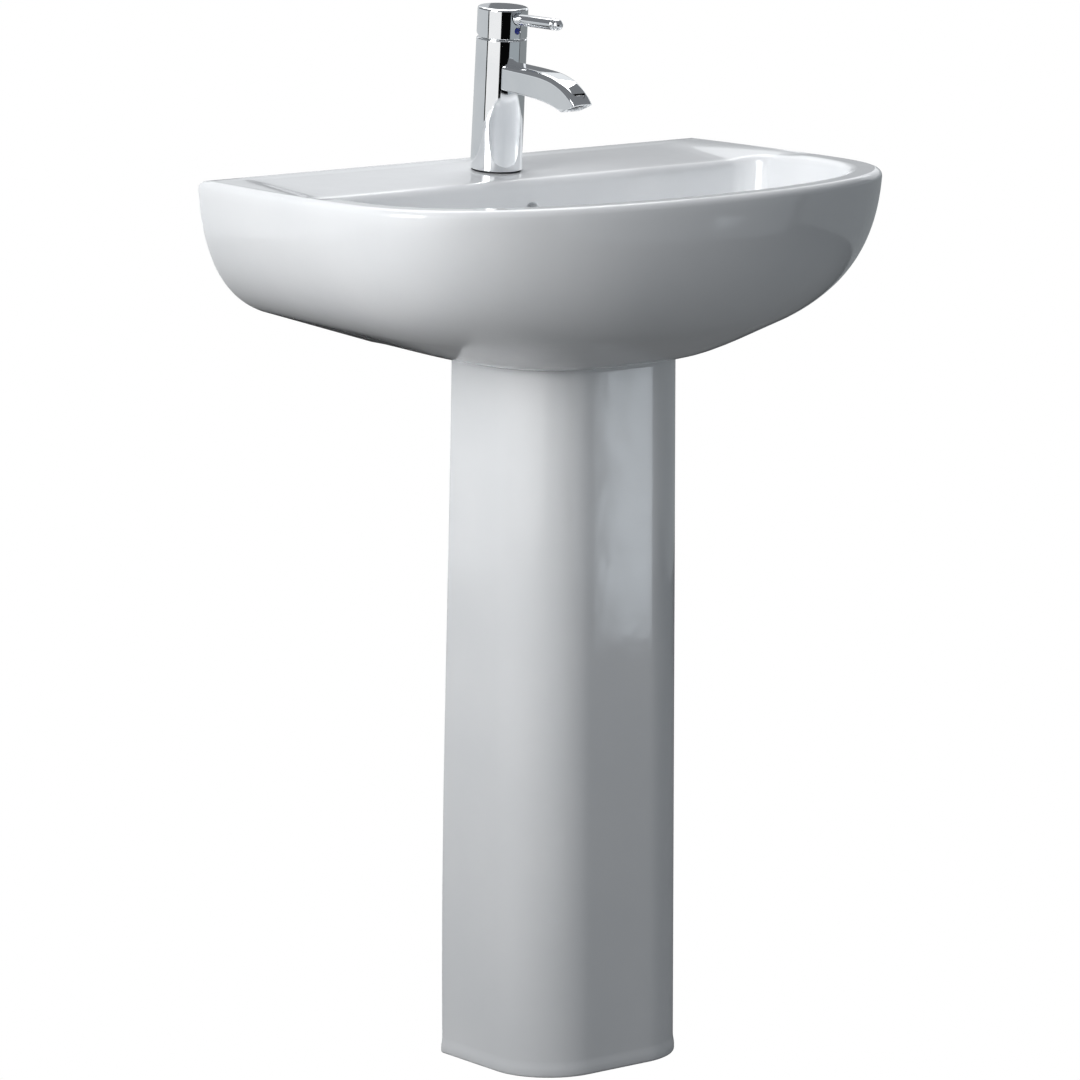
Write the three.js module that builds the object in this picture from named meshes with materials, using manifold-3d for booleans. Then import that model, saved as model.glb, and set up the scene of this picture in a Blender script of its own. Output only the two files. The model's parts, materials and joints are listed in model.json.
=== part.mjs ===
// Wall-side pedestal basin: a D-shaped ceramic basin on a hollow ceramic pedestal, with a leaning
// single-lever mixer tap, a push-button waste and a bottle trap. Units are millimetres, +Z is up,
// the wall is on the +Y side and the front of the basin faces -Y. The model is built with the wall
// as y = 0 and then moved by ORIGIN_Y so that the origin is the centre of the footprint's bottom.
import * as THREE from "three";
import { mergeVertices } from "three/addons/utils/BufferGeometryUtils.js";
import Module from "manifold-3d";

const wasm = await Module();
wasm.setup();

// ---- driving dimensions -------------------------------------------------------------------
const GAP = 0.3; // air left between two pieces that rest on each other
const WALL_REACH = 40; // how far the wall bolts run past the basin's back face

const BASIN = {
  halfBack: 295, // half width at the wall
  halfMax: 300, // half width at its widest
  depth: 394, // wall to front edge
  straight: 150, // depth over which the sides stay nearly parallel
  rim: 840, // rim height above the floor
  belly: 168, // rim to underside at the pedestal
  fullness: 11, // extra depth of the underside towards the front
  tuck: 0.035, // extra inward share of the side towards the front
  edge: 7, // outer edge rounding
};
const BOWL = {
  halfWidth: 270,
  back: 123,
  front: 367,
  corner: 30,
  lip: 9, // inner edge rounding
  depth: 149, // rim to the waste's seat
};
const DECK = {
  slope: THREE.MathUtils.degToRad(4.2), // falls from the wall towards the bowl
  flatHalf: 246, // half width before the deck rises to the side rims
  rise: 0.26, // steepness of that rise
  fade: 40, // distance over which the rise dies out beside the bowl
  thickness: 15,
};
// The space under the tap deck, reached from below through a narrower shaft.
const CAVITY = { wall: 14, half: 160, front: 101, low: 712, shaftHalf: 84 };
const FOOT = {
  half: 98, // half width of the pedestal
  front: 256,
  corner: 62,
  wall: 11,
  backTop: 124, // back edge at the top, distance from the wall
  backFloor: 106, // back edge at the floor
  returnLip: 22, // inward return of the back edges
  lipHeight: 12,
  lipProud: 1.2,
};
const WASTE = { y: -212, hole: 22.5, seat: 33, tube: 20.5, bore: 17.5, flange: 31 };
const OVERFLOW = { z: 801, radius: 8, ductHalf: 11, ductBack: 108, ductFront: 116, low: 676, high: 684 };
const TAP = {
  y: -67,
  hole: 17.5,
  base: 24.4, // body radius at the deck
  top: 23.8, // body radius at the parting line
  bodyTop: 126.2,
  capTop: 155.4,
  capBottom: 126.8,
  seat: 1.6, // body's underside above the deck
};
const CARTRIDGE = { bore: 18.3, bottom: 89, pivot: 130, dome: 19.8, opening: 15 };
const LEVER = { height: 144.9, rise: THREE.MathUtils.degToRad(3.5), radius: 5.4, reach: 88.5, indicator: 135.4 };
const LIFT = THREE.MathUtils.degToRad(16); // relief cut so the cap can tip back
const FIXING = { x: 140, z: 762, hole: 7, bolt: 5 }; // wall bolts
const SCREW = { x: 62, y: -132, hole: 4, lug: 10 }; // floor screws
const TRAP = { cup: 27, low: 425, top: 560, outlet: 530, outletEnd: 100, pipe: 16 };
const STUD_Y = 9; // fixing stud, behind the tap hole's centre
const TAIL = {
  radius: 5, x: 7.5, y: -5, // where each tail leaves the tap
  spread: 30, easedBack: 4, // where it ends, from the middle and behind its start
  straightBelow: 690, bottom: 610,
};

// ---- materials ----------------------------------------------------------------------------
const look = (color, roughness, metalness) => () =>
  new THREE.MeshStandardMaterial({ color, roughness, metalness });
const ceramic = look(0xf2f4f5, 0.08, 0);
const chrome = look(0xd9dde0, 0.06, 1);
const brass = look(0xb8934a, 0.35, 1);
const copper = look(0xb9704a, 0.3, 1);
const steel = look(0xa9adb0, 0.35, 1);
const rubber = look(0x1f2022, 0.85, 0);
const whitePlastic = look(0xeeeeea, 0.4, 0);
const darkPlastic = look(0x3a3d40, 0.5, 0);
const bluePlastic = look(0x1c2f86, 0.3, 0);

// ---- geometry helpers ---------------------------------------------------------------------
function solid(geometry) {
  const bare = geometry.clone();
  for (const name of ["normal", "uv"]) bare.deleteAttribute(name);
  const welded = mergeVertices(bare, 1e-4);
  const index = welded.index.array;
  const kept = [];
  for (let i = 0; i < index.length; i += 3) {
    const [a, b, c] = [index[i], index[i + 1], index[i + 2]];
    if (a !== b && b !== c && c !== a) kept.push(a, b, c);
  }
  const vertProperties = new Float32Array(welded.attributes.position.array);
  return new wasm.Manifold(new wasm.Mesh({ numProp: 3, vertProperties, triVerts: new Uint32Array(kept) }));
}

function surface(manifold) {
  const mesh = manifold.getMesh();
  const geometry = new THREE.BufferGeometry();
  geometry.setAttribute("position", new THREE.BufferAttribute(new Float32Array(mesh.vertProperties), 3));
  geometry.setIndex(new THREE.BufferAttribute(new Uint32Array(mesh.triVerts), 1));
  geometry.computeVertexNormals();
  return geometry;
}

const cut = (base, ...tools) => surface(tools.reduce((body, tool) => body.subtract(solid(tool)), solid(base)));
const join = (base, ...more) => surface(more.reduce((body, piece) => body.add(solid(piece)), solid(base)));

// Turned piece: a closed profile of [radius, height] pairs, listed anticlockwise, spun about +Z.
function turned(profile, segments = 20) {
  const points = [...profile, profile[0]].map(([r, z]) => new THREE.Vector2(r, z));
  return new THREE.LatheGeometry(points, segments).rotateX(Math.PI / 2);
}
const rod = (r, low, high, segments = 20) =>
  turned([[0, low], [r, low], [r, high], [0, high]], segments);
const ring = (inner, outer, low, high, segments = 20) =>
  turned([[inner, low], [outer, low], [outer, high], [inner, high]], segments);

function block([x0, y0, z0], [x1, y1, z1]) {
  const box = new THREE.BoxGeometry(x1 - x0, y1 - y0, z1 - z0);
  return box.translate((x0 + x1) / 2, (y0 + y1) / 2, (z0 + z1) / 2);
}

// Hexagon nut or head across-flats `flats`, with an optional hole.
function hexagon(flats, hole, low, high) {
  const shape = new THREE.Shape();
  const corner = flats / 2 / Math.cos(Math.PI / 6);
  for (let i = 0; i < 6; i++) {
    const angle = (i * Math.PI) / 3;
    const point = [corner * Math.cos(angle), corner * Math.sin(angle)];
    if (i === 0) shape.moveTo(...point);
    else shape.lineTo(...point);
  }
  shape.closePath();
  if (hole) shape.holes.push(new THREE.Path().absarc(0, 0, hole, 0, 2 * Math.PI, true));
  const options = { depth: high - low, bevelEnabled: false, curveSegments: 12 };
  return new THREE.ExtrudeGeometry(shape, options).translate(0, 0, low);
}

// Skin over a stack of equal-count rings of [x, y, z], closed by a fan at each end.
// Rings run anticlockwise seen from the last ring's side.
function loft(rings) {
  const count = rings[0].length;
  const vertices = rings.flat();
  const faces = [];
  for (let k = 0; k + 1 < rings.length; k++) {
    for (let i = 0; i < count; i++) {
      const a = k * count + i;
      const b = k * count + ((i + 1) % count);
      faces.push(a, b, b + count, a, b + count, a + count);
    }
  }
  for (const [k, flip] of [[0, true], [rings.length - 1, false]]) {
    const centre = vertices.length;
    const sum = rings[k].reduce((s, p) => [s[0] + p[0], s[1] + p[1], s[2] + p[2]], [0, 0, 0]);
    vertices.push(sum.map((v) => v / count));
    for (let i = 0; i < count; i++) {
      const a = k * count + i;
      const b = k * count + ((i + 1) % count);
      faces.push(...(flip ? [b, a, centre] : [a, b, centre]));
    }
  }
  const geometry = new THREE.BufferGeometry();
  geometry.setAttribute("position", new THREE.Float32BufferAttribute(vertices.flat(), 3));
  geometry.setIndex(faces);
  return geometry;
}

// Half outlines run from the back, round the +X side, to the centre of the front.
const spaced = (points, steps) =>
  new THREE.SplineCurve(points.map(([x, y]) => new THREE.Vector2(x, y))).getSpacedPoints(steps);
// The whole outline, anticlockwise from above: the half and its mirror image.
function mirrored(half) {
  const right = half.map((p) => [p.x, p.y]);
  const left = right.map(([x, y]) => [-x, y]);
  const start = right[0][0] < 1e-6 ? 1 : 0;
  return [...left.slice(start, -1), ...right.reverse()];
}
const mix = (a, b, t) => a.map((p, i) => [p[0] + (b[i][0] - p[0]) * t, p[1] + (b[i][1] - p[1]) * t]);
const raise = (outline, z) => outline.map(([x, y]) => [x, y, z]);

// Outline moved outwards by `distance` along its own normals; the y = 0 end points stay on the wall.
function grown(outline, distance, flatBack) {
  const count = outline.length;
  return outline.map(([x, y], i) => {
    const before = outline[(i + count - 1) % count];
    const after = outline[(i + 1) % count];
    const open = flatBack && (i === 0 || i === count - 1);
    const [p, q] = open ? (i === 0 ? [outline[0], after] : [before, outline[i]]) : [before, after];
    const length = Math.hypot(q[0] - p[0], q[1] - p[1]);
    const [nx, ny] = [(q[1] - p[1]) / length, -(q[0] - p[0]) / length];
    return open ? [x + nx * distance, y] : [x + nx * distance, y + ny * distance];
  });
}

// Drop of the deck's surface below the rim.
function deckDrop(x, y) {
  const fade = THREE.MathUtils.clamp(1 + (y + BOWL.back + BOWL.corner) / DECK.fade, 0, 1);
  const climb = Math.max(0, Math.abs(x) - DECK.flatHalf) * DECK.rise;
  return Math.max(0, -y * Math.tan(DECK.slope) - climb) * fade;
}

// ---- basin --------------------------------------------------------------------------------
// Front of a D: x = half * cos(a), depth = straight + (depth - straight) * sqrt(sin(a)).
function frontCurve(half, straight, depth, steps) {
  const points = [];
  for (let i = 0; i <= steps; i++) {
    const a = (Math.PI / 2) * (i / steps) ** 1.5;
    points.push([half * Math.cos(a), -straight - (depth - straight) * Math.sqrt(Math.sin(a))]);
  }
  return points;
}

function rimOutline() {
  const { halfBack, halfMax, straight, depth } = BASIN;
  const side = [0, 1 / 3, 2 / 3].map((t) => [halfMax - (halfMax - halfBack) * (1 - t) ** 2, -straight * t]);
  return mirrored(spaced([...side, ...frontCurve(halfMax, straight, depth, 24)], 20));
}

function footOutline() {
  const { half, front, corner } = FOOT;
  const points = [];
  for (let i = 0; i <= 6; i++) points.push([half, (-(front - corner) * i) / 6]);
  for (let i = 1; i <= 12; i++) {
    const a = (Math.PI / 2) * (i / 12);
    points.push([half - corner + corner * Math.cos(a), -(front - corner) - corner * Math.sin(a)]);
  }
  for (let i = 1; i <= 3; i++) points.push([(half - corner) * (1 - i / 3), -front]);
  return mirrored(spaced(points, 20));
}

// The hull's side: [inward share, drop below the rim], steep at first, then a shallow cone.
function hullProfile() {
  const kink = [0.36, 128];
  const wall = new THREE.CubicBezierCurve(
    new THREE.Vector2(0, BASIN.edge), new THREE.Vector2(0.02, 70),
    new THREE.Vector2(0.13, 111), new THREE.Vector2(...kink),
  );
  const cone = [0.6, 0.8, 1].map((s) => [s, kink[1] + ((BASIN.belly - kink[1]) * (s - kink[0])) / (1 - kink[0])]);
  return [...wall.getPoints(9).map((p) => [p.x, p.y]), ...cone];
}

function hull() {
  const rim = rimOutline();
  const foot = footOutline();
  const rings = hullProfile().reverse().map(([s, drop]) => rim.map(([x, y], i) => {
    const frontness = -y / BASIN.depth;
    const share = s + BASIN.tuck * 4 * s * (1 - s) * frontness;
    const bulge = BASIN.fullness * 6.75 * s * s * (1 - s) * frontness;
    return [x + (foot[i][0] - x) * share, y + (foot[i][1] - y) * share, BASIN.rim - drop - bulge];
  }));
  for (const a of [30, 60, 90]) {
    const angle = THREE.MathUtils.degToRad(a);
    const inset = BASIN.edge * (1 - Math.cos(angle));
    rings.push(raise(grown(rim, -inset, true), BASIN.rim - BASIN.edge * (1 - Math.sin(angle))));
  }
  return loft(rings);
}

function bowlOutline() {
  const { halfWidth, back, front, corner } = BOWL;
  const points = [];
  for (let i = 0; i < 6; i++) points.push([((halfWidth - corner) * i) / 6, -back]);
  for (let i = 0; i < 8; i++) {
    const a = (Math.PI / 2) * (i / 8);
    points.push([halfWidth - corner + corner * Math.sin(a), -back - corner * (1 - Math.cos(a))]);
  }
  const curve = frontCurve(halfWidth, BASIN.straight, front, 30);
  points.push(...curve.filter(([, y]) => -y > back + corner));
  return mirrored(spaced(points, 22));
}

function bowl() {
  const edge = bowlOutline();
  const seat = [];
  for (let i = 0; i <= 22; i++) {
    const a = (Math.PI * i) / 22;
    seat.push(new THREE.Vector2(WASTE.seat * Math.sin(a), WASTE.y + WASTE.seat * Math.cos(a)));
  }
  const seatOutline = mirrored(seat);
  const wall = new THREE.CubicBezierCurve(
    new THREE.Vector2(0, BOWL.lip), new THREE.Vector2(0.02, 62),
    new THREE.Vector2(0.05, 104), new THREE.Vector2(0.22, 114),
  );
  const lip = grown(edge, BOWL.lip, false);
  // The outline at `drop` below the bowl's own edge, which follows the deck at the back.
  const level = (outline, drop) => outline.map(([x, y], i) => {
    const fade = Math.max(0, 1 - drop / BOWL.depth);
    return [x, y, BASIN.rim - drop - deckDrop(...lip[i]) * fade];
  });
  const rings = [1, 0.75, 0.45].map((t) =>
    level(mix(edge, seatOutline, t), 114 + (BOWL.depth - 114) * ((t - 0.22) / 0.78)));
  for (const p of wall.getPoints(6).reverse()) rings.push(level(mix(edge, seatOutline, p.x), p.y));
  for (const a of [30, 60, 90]) {
    const angle = THREE.MathUtils.degToRad(a);
    rings.push(level(grown(edge, BOWL.lip * (1 - Math.cos(angle)), false), BOWL.lip * (1 - Math.sin(angle))));
  }
  rings.push(raise(lip, BASIN.rim + 5));
  return loft(rings);
}

// Moves a piece from the tap's leaning frame, origin on the deck, to the basin's frame.
const onDeck = (geometry) =>
  geometry.rotateX(DECK.slope).translate(0, TAP.y, BASIN.rim + TAP.y * Math.tan(DECK.slope));

// Everything above the sloped deck, between the side rims.
function aboveDeck() {
  const rise = 16;
  const [near, wide] = [DECK.flatHalf, DECK.flatHalf + rise / DECK.rise];
  const reach = BOWL.back + BOWL.corner;
  const plan = (half) => [[-half, 10], [-half, -reach], [half, -reach], [half, 10]];
  return loft([raise(plan(near), 0), raise(plan(wide), rise)]).rotateX(DECK.slope).translate(0, 0, BASIN.rim);
}

// Hollow behind the bowl, open downwards.
function cavity() {
  const low = BASIN.rim - BASIN.belly - 20;
  const room = block([-CAVITY.half, -CAVITY.front, CAVITY.low], [CAVITY.half, -CAVITY.wall, BASIN.rim]);
  const shaft = block([-CAVITY.shaftHalf, -CAVITY.front, low], [CAVITY.shaftHalf, -CAVITY.wall, CAVITY.low + 5]);
  return cut(join(room, shaft), onDeck(block([-200, -100, -DECK.thickness], [200, 100, 60])));
}

// Hidden passage from the overflow hole down to the waste.
function overflow() {
  const { z, radius, ductHalf, ductBack, ductFront, low, high } = OVERFLOW;
  const hole = rod(radius, 0, 60, 16).rotateX(Math.PI / 2).translate(0, -ductBack - 2, z);
  const duct = block([-ductHalf, -ductFront, low], [ductHalf, -ductBack, z + radius + 2]);
  const channel = block([-ductHalf, WASTE.y, low], [ductHalf, -ductBack, high]);
  return join(hole, duct, channel);
}

function basin() {
  const low = BASIN.rim - BASIN.belly - 20;
  const tapHole = onDeck(rod(TAP.hole, -30, 10, 24));
  const wasteHole = rod(WASTE.hole, low, BASIN.rim - BOWL.depth + 5, 28).translate(0, WASTE.y, 0);
  const boltHoles = [-1, 1].map((side) =>
    rod(FIXING.hole, -5, CAVITY.wall + 5, 16).rotateX(Math.PI / 2).translate(side * FIXING.x, 0, FIXING.z));
  return cut(hull(), aboveDeck(), bowl(), cavity(), overflow(), tapHole, wasteHole, ...boltHoles);
}

// ---- pedestal -----------------------------------------------------------------------------
// U-shaped section with inward returns; the outer and inner runs have the same number of points.
function pedestalSection(back, proud) {
  const { half, front, corner, wall, returnLip } = FOOT;
  const run = (inset) => {
    const [h, f, r] = [half + proud - inset, front + proud - inset, corner + proud - inset];
    const b = back + (inset ? wall : 0);
    const inner = half - returnLip;
    const right = [[inner, -b], [h, -b], [h, -(f - r)]];
    for (let i = 1; i < 9; i++) {
      const a = (Math.PI / 2) * (i / 9);
      right.push([h - r + r * Math.cos(a), -(f - r) - r * Math.sin(a)]);
    }
    right.push([h - r, -f]);
    return [...right, ...right.map(([x, y]) => [-x, y]).reverse()];
  };
  return [run(0), run(wall)];
}

// Distance of the back edge from the wall, flaring towards the wall on the way down.
function pedestalBack(z) {
  const top = BASIN.rim - BASIN.belly;
  const t = THREE.MathUtils.smoothstep(z, 60, top + 130);
  return FOOT.backFloor + ((FOOT.backTop - FOOT.backFloor) * t) / 0.93;
}

function pedestal() {
  const top = BASIN.rim - BASIN.belly - GAP;
  const { lipHeight, lipProud } = FOOT;
  const levels = [[0, lipProud - 1], [1.5, lipProud], [lipHeight - 1.5, lipProud], [lipHeight, 0]];
  for (const z of [140, 260, 360, 440, 520, 600, top]) levels.push([z, 0]);
  const count = pedestalSection(0, 0)[0].length;
  const vertices = [];
  for (const [z, proud] of levels) {
    for (const run of pedestalSection(pedestalBack(z), proud)) vertices.push(...raise(run, z));
  }
  const faces = [];
  const quad = (a, b, c, d) => faces.push(a, b, c, a, c, d);
  for (let k = 0; k + 1 < levels.length; k++) {
    const [low, high] = [k * 2 * count, (k + 1) * 2 * count];
    for (let i = 0; i + 1 < count; i++) {
      quad(low + i + 1, low + i, high + i, high + i + 1);
      quad(low + count + i, low + count + i + 1, high + count + i + 1, high + count + i);
    }
    quad(low, low + count, high + count, high);
    quad(low + 2 * count - 1, low + count - 1, high + count - 1, high + 2 * count - 1);
  }
  const last = (levels.length - 1) * 2 * count;
  for (let i = 0; i + 1 < count; i++) {
    quad(i, i + 1, count + i + 1, count + i);
    quad(last + i + 1, last + i, last + count + i, last + count + i + 1);
  }
  const shell = new THREE.BufferGeometry();
  shell.setAttribute("position", new THREE.Float32BufferAttribute(vertices.flat(), 3));
  shell.setIndex(faces);
  let body = solid(shell);
  for (const side of [-1, 1]) {
    const lug = block([-30, -16, 0], [30, 16, SCREW.lug]).translate(side * SCREW.x, SCREW.y, 0);
    body = body.add(solid(lug));
    body = body.subtract(solid(rod(SCREW.hole, -5, SCREW.lug + 5, 16).translate(side * SCREW.x, SCREW.y, 0)));
  }
  return surface(body);
}

// ---- tap, in its own leaning frame: origin on the deck, +Z along the tap's axis --------------
// Spout stations: [forward, height] of the top and of the underside, and the half width.
const SPOUT = [
  [[12, 104.3], [12, 80.1], 13.5],
  [[34, 104.5], [34, 79.7], 13.5],
  [[58, 104.7], [54, 79.5], 13.4],
  [[79, 104.1], [71, 79.1], 13.2],
  [[96, 101.5], [83, 78.1], 12.8],
  [[110.5, 96.3], [93, 76.5], 12.3],
  [[121.5, 89.5], [101, 74.5], 11.8],
  [[129.5, 82.5], [107.5, 72.5], 11.3],
];

function spoutShape() {
  const rings = SPOUT.map(([top, under, halfWidth]) => {
    const centre = [(top[0] + under[0]) / 2, (top[1] + under[1]) / 2];
    const reach = [(top[0] - under[0]) / 2, (top[1] - under[1]) / 2];
    const points = [];
    for (let i = 0; i < 20; i++) {
      const a = (2 * Math.PI * i) / 20;
      const c = Math.sign(Math.cos(a)) * Math.abs(Math.cos(a)) ** 0.62;
      const s = Math.sign(Math.sin(a)) * Math.abs(Math.sin(a)) ** 0.72;
      points.push([halfWidth * c, -(centre[0] + reach[0] * s), centre[1] + reach[1] * s]);
    }
    return points;
  });
  return loft(rings);
}

// Moves a piece built about the origin, +Z inwards, to the spout's outlet.
function atOutlet(geometry) {
  const [[topForward, topHeight], [underForward, underHeight]] = SPOUT[SPOUT.length - 1];
  const tilt = Math.atan2(topHeight - underHeight, topForward - underForward);
  return geometry.rotateX(-tilt)
    .translate(0, -(topForward + underForward) / 2, (topHeight + underHeight) / 2);
}

function tapBody() {
  const { base, top, bodyTop, seat } = TAP;
  const shell = turned([[0, seat], [base, seat], [top, bodyTop - 0.8], [top - 0.8, bodyTop], [0, bodyTop]], 48);
  const bore = rod(CARTRIDGE.bore, CARTRIDGE.bottom, bodyTop + 5, 32);
  const waterway = rod(5.5, 0, 84, 12).rotateX(Math.PI / 2 + 0.03).translate(0, -10, 93.4);
  const outlet = atOutlet(rod(9.6, -20, 12, 24));
  const studSocket = rod(4.4, -5, 34, 12).translate(0, STUD_Y, 0);
  const tailSockets = [-1, 1].map((side) => rod(TAIL.radius + 0.4, -5, 44, 12).translate(side * TAIL.x, TAIL.y, 0));
  return cut(join(shell, spoutShape()), bore, waterway, outlet, studSocket, ...tailSockets);
}

function cartridgeNut() {
  const { pivot, dome, opening } = CARTRIDGE;
  const arc = (radius, from, to, steps) => {
    const points = [];
    for (let i = 0; i <= steps; i++) {
      const a = from + ((to - from) * i) / steps;
      points.push([radius * Math.cos(a), pivot + radius * Math.sin(a)]);
    }
    return points;
  };
  const low = TAP.bodyTop + GAP;
  const outerFrom = Math.asin((low - pivot) / dome);
  const outerTo = Math.acos(opening / dome);
  const innerTo = Math.acos(opening / (dome - 2.5));
  return turned([
    [14.5, low - 5], [17.9, low - 5], [17.9, low],
    ...arc(dome, outerFrom, outerTo, 7),
    ...arc(dome - 2.5, innerTo, 0.1, 5),
    [14.5, pivot - 1],
  ], 32);
}

function cartridgeHousing() {
  const [low, high] = [CARTRIDGE.bottom + 0.4, TAP.bodyTop - 5.1];
  return turned([[0, low], [17.6, low], [17.6, high], [11, high], [11, high - 8], [0, high - 8]], 28);
}

// The turret that turns in the housing; a slot across it holds the stem.
function cartridgeCarrier() {
  const low = TAP.bodyTop - 12.7;
  const { pivot } = CARTRIDGE;
  const turret = turned([[0, low], [10.6, low], [10.6, pivot + 5], [0, pivot + 5]], 24);
  const slot = block([-4.4, -11, pivot - 8], [4.4, 11, pivot + 7]);
  return cut(turret, slot);
}

function cartridgeStem() {
  const { pivot } = CARTRIDGE;
  return block([-4, -3.6, pivot - 3], [4, 3.6, TAP.capTop - 5.3]);
}

function handleCap() {
  const { top, capTop, capBottom } = TAP;
  const cup = turned([
    [20.7, capBottom], [top, capBottom], [top, capTop - 1.4], [top - 0.5, capTop - 0.4], [top - 1.6, capTop],
    [0, capTop + 0.4], [0, capTop - 4.7], [20.7, capTop - 4.7],
  ], 48);
  const boss = block([-6.8, -6.4, capTop - 12.3], [6.8, 6.4, capTop - 4.1]);
  const screwBoss = block([-3.8, 5, capTop - 9.7], [3.8, 10, capTop - 4.1]);
  const screwHole = rod(2.2, 3, 15, 12).rotateX(-Math.PI / 2).translate(0, 0, capTop - 7);
  const stemSlot = block([-4.3, -3.9, capTop - 15], [4.3, 3.9, capTop - 4.9]);
  const relief = new THREE.BoxGeometry(60, 60, 20).translate(0, 30, -10).rotateX(LIFT).translate(0, 0, capBottom + 0.2);
  const pinHole = alongLever(rod(LEVER.radius + 0.2, 19.5, 40, 24));
  const threadHole = alongLever(rod(2.8, 3, 30, 12));
  const indicatorHole = rod(3.2, 22.1, 30, 16).rotateX(Math.PI / 2).translate(0, 0, LEVER.indicator);
  return cut(join(cup, boss, screwBoss), stemSlot, relief, pinHole, threadHole, indicatorHole, screwHole);
}

// Moves a piece built along +Z onto the lever's line, pointing forwards.
const alongLever = (geometry) => geometry.rotateX(Math.PI / 2 - LEVER.rise).translate(0, 0, LEVER.height);

function leverPin() {
  const { radius, reach } = LEVER;
  return alongLever(turned([
    [0, 4.4], [2.5, 4.4], [2.5, 21], [radius, 21], [radius, reach - 10], [radius - 0.8, reach - 9],
    [radius - 1.6, reach - 8.2], [radius - 1.6, reach - 7], [radius - 0.6, reach - 6], [radius - 0.4, reach - 4],
    [radius - 1.2, reach - 1.4], [radius - 3, reach - 0.2], [0, reach],
  ], 24));
}

const grubScrew = () => rod(1.9, 4.2, 9.4, 10).rotateX(-Math.PI / 2).translate(0, 0, TAP.capTop - 7);
const indicator = () => rod(2.9, 22.4, 23.6, 16).rotateX(Math.PI / 2).translate(0, 0, LEVER.indicator);
const aeratorHousing = () => atOutlet(ring(7.6, 9.2, -0.6, 9.6, 24));
const aeratorInsert = () => atOutlet(rod(7.2, 0.6, 8, 20));

// ---- build ----------------------------------------------------------------------------------
const sink = new THREE.Group();
const atWall = new THREE.Group();
atWall.position.y = (BASIN.depth - WALL_REACH) / 2;
sink.add(atWall);
const tap = new THREE.Group();
tap.position.set(0, TAP.y, BASIN.rim + TAP.y * Math.tan(DECK.slope));
tap.rotation.x = DECK.slope; // square to the sloped deck
atWall.add(tap);

function add(parent, name, geometry, material) {
  const mesh = new THREE.Mesh(geometry, material());
  mesh.name = name;
  parent.add(mesh);
  return mesh;
}

add(atWall, "basin", basin(), ceramic);
add(atWall, "pedestal", pedestal(), ceramic);

// Wall bolts: a stud into the wall, a plastic bush in the hole, a washer and a nut inside the cavity.
for (const [side, name] of [[-1, "left"], [1, "right"]]) {
  const back = CAVITY.wall;
  const set = new THREE.Group();
  set.position.set(side * FIXING.x, 0, FIXING.z);
  set.rotation.x = Math.PI / 2;
  atWall.add(set);
  add(set, `wall_bolt_${name}`, rod(FIXING.bolt, -WALL_REACH, back + 22, 16), steel);
  const bush = turned([[5.3, 1], [6.7, 1], [6.7, back + GAP], [11, back + GAP], [11, back + 3], [5.3, back + 3]], 20);
  add(set, `wall_bush_${name}`, bush, whitePlastic);
  add(set, `wall_washer_${name}`, ring(5.4, 12, back + 3.3, back + 5.3, 20), steel);
  add(set, `wall_nut_${name}`, hexagon(17, 5.3, back + 5.6, back + 13.6), steel);
  const screw = new THREE.Group();
  screw.position.set(side * SCREW.x, SCREW.y, 0);
  atWall.add(screw);
  const head = SCREW.lug;
  const washer = turned([[3.3, head + GAP], [9, head + GAP], [7.5, head + 2.8], [3.3, head + 2.8]], 20);
  add(screw, `floor_washer_${name}`, washer, whitePlastic);
  const shank = turned([
    [0, 0.6], [3, 0.6], [3, head + 3.1], [6.5, head + 3.1], [6.5, head + 6], [3, head + 7], [0, head + 7],
  ], 16);
  add(screw, `floor_screw_${name}`, shank, steel);
}

// Tap.
add(tap, "tap_body", tapBody(), chrome);
add(tap, "cartridge_housing", cartridgeHousing(), whitePlastic);
add(tap, "cartridge_nut", cartridgeNut(), chrome);
add(tap, "cartridge_carrier", cartridgeCarrier(), darkPlastic);
add(tap, "cartridge_stem", cartridgeStem(), brass);
add(tap, "handle_cap", handleCap(), chrome);
add(tap, "lever_pin", leverPin(), chrome);
add(tap, "lever_grub_screw", grubScrew(), steel);
add(tap, "indicator_plug", indicator(), bluePlastic);
add(tap, "aerator_housing", aeratorHousing(), chrome);
add(tap, "aerator_insert", aeratorInsert(), darkPlastic);

// Tap fixing on both faces of the deck.
function horseshoe(low, high) {
  const shape = new THREE.Shape().absarc(0, 0, 23, 0, 2 * Math.PI, false);
  const opening = new THREE.Path();
  opening.moveTo(-13.5, -11);
  opening.lineTo(13.5, -11);
  opening.absarc(10.5, -1.2, 3, 0, Math.PI / 2, false);
  opening.lineTo(-10.5, 1.8);
  opening.absarc(-10.5, -1.2, 3, Math.PI / 2, Math.PI, false);
  opening.closePath();
  const hole = new THREE.Path().absarc(0, STUD_Y, 4.5, 0, 2 * Math.PI, true);
  shape.holes.push(opening, hole);
  const options = { depth: high - low, bevelEnabled: false, curveSegments: 8 };
  return new THREE.ExtrudeGeometry(shape, options).translate(0, 0, low);
}
const under = -DECK.thickness;
add(tap, "base_gasket", ring(18, 23.2, GAP, 1.3, 32), rubber);
add(tap, "fixing_stud", rod(4, under - 34, 33, 16).translate(0, STUD_Y, 0), steel);
add(tap, "horseshoe_gasket", horseshoe(under - GAP - 3, under - GAP), rubber);
add(tap, "horseshoe_plate", horseshoe(under - 6, under - 3.6), steel);
add(tap, "fixing_nut", hexagon(13, 4.3, under - 16, under - 6.3).translate(0, STUD_Y, 0), brass);

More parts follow.
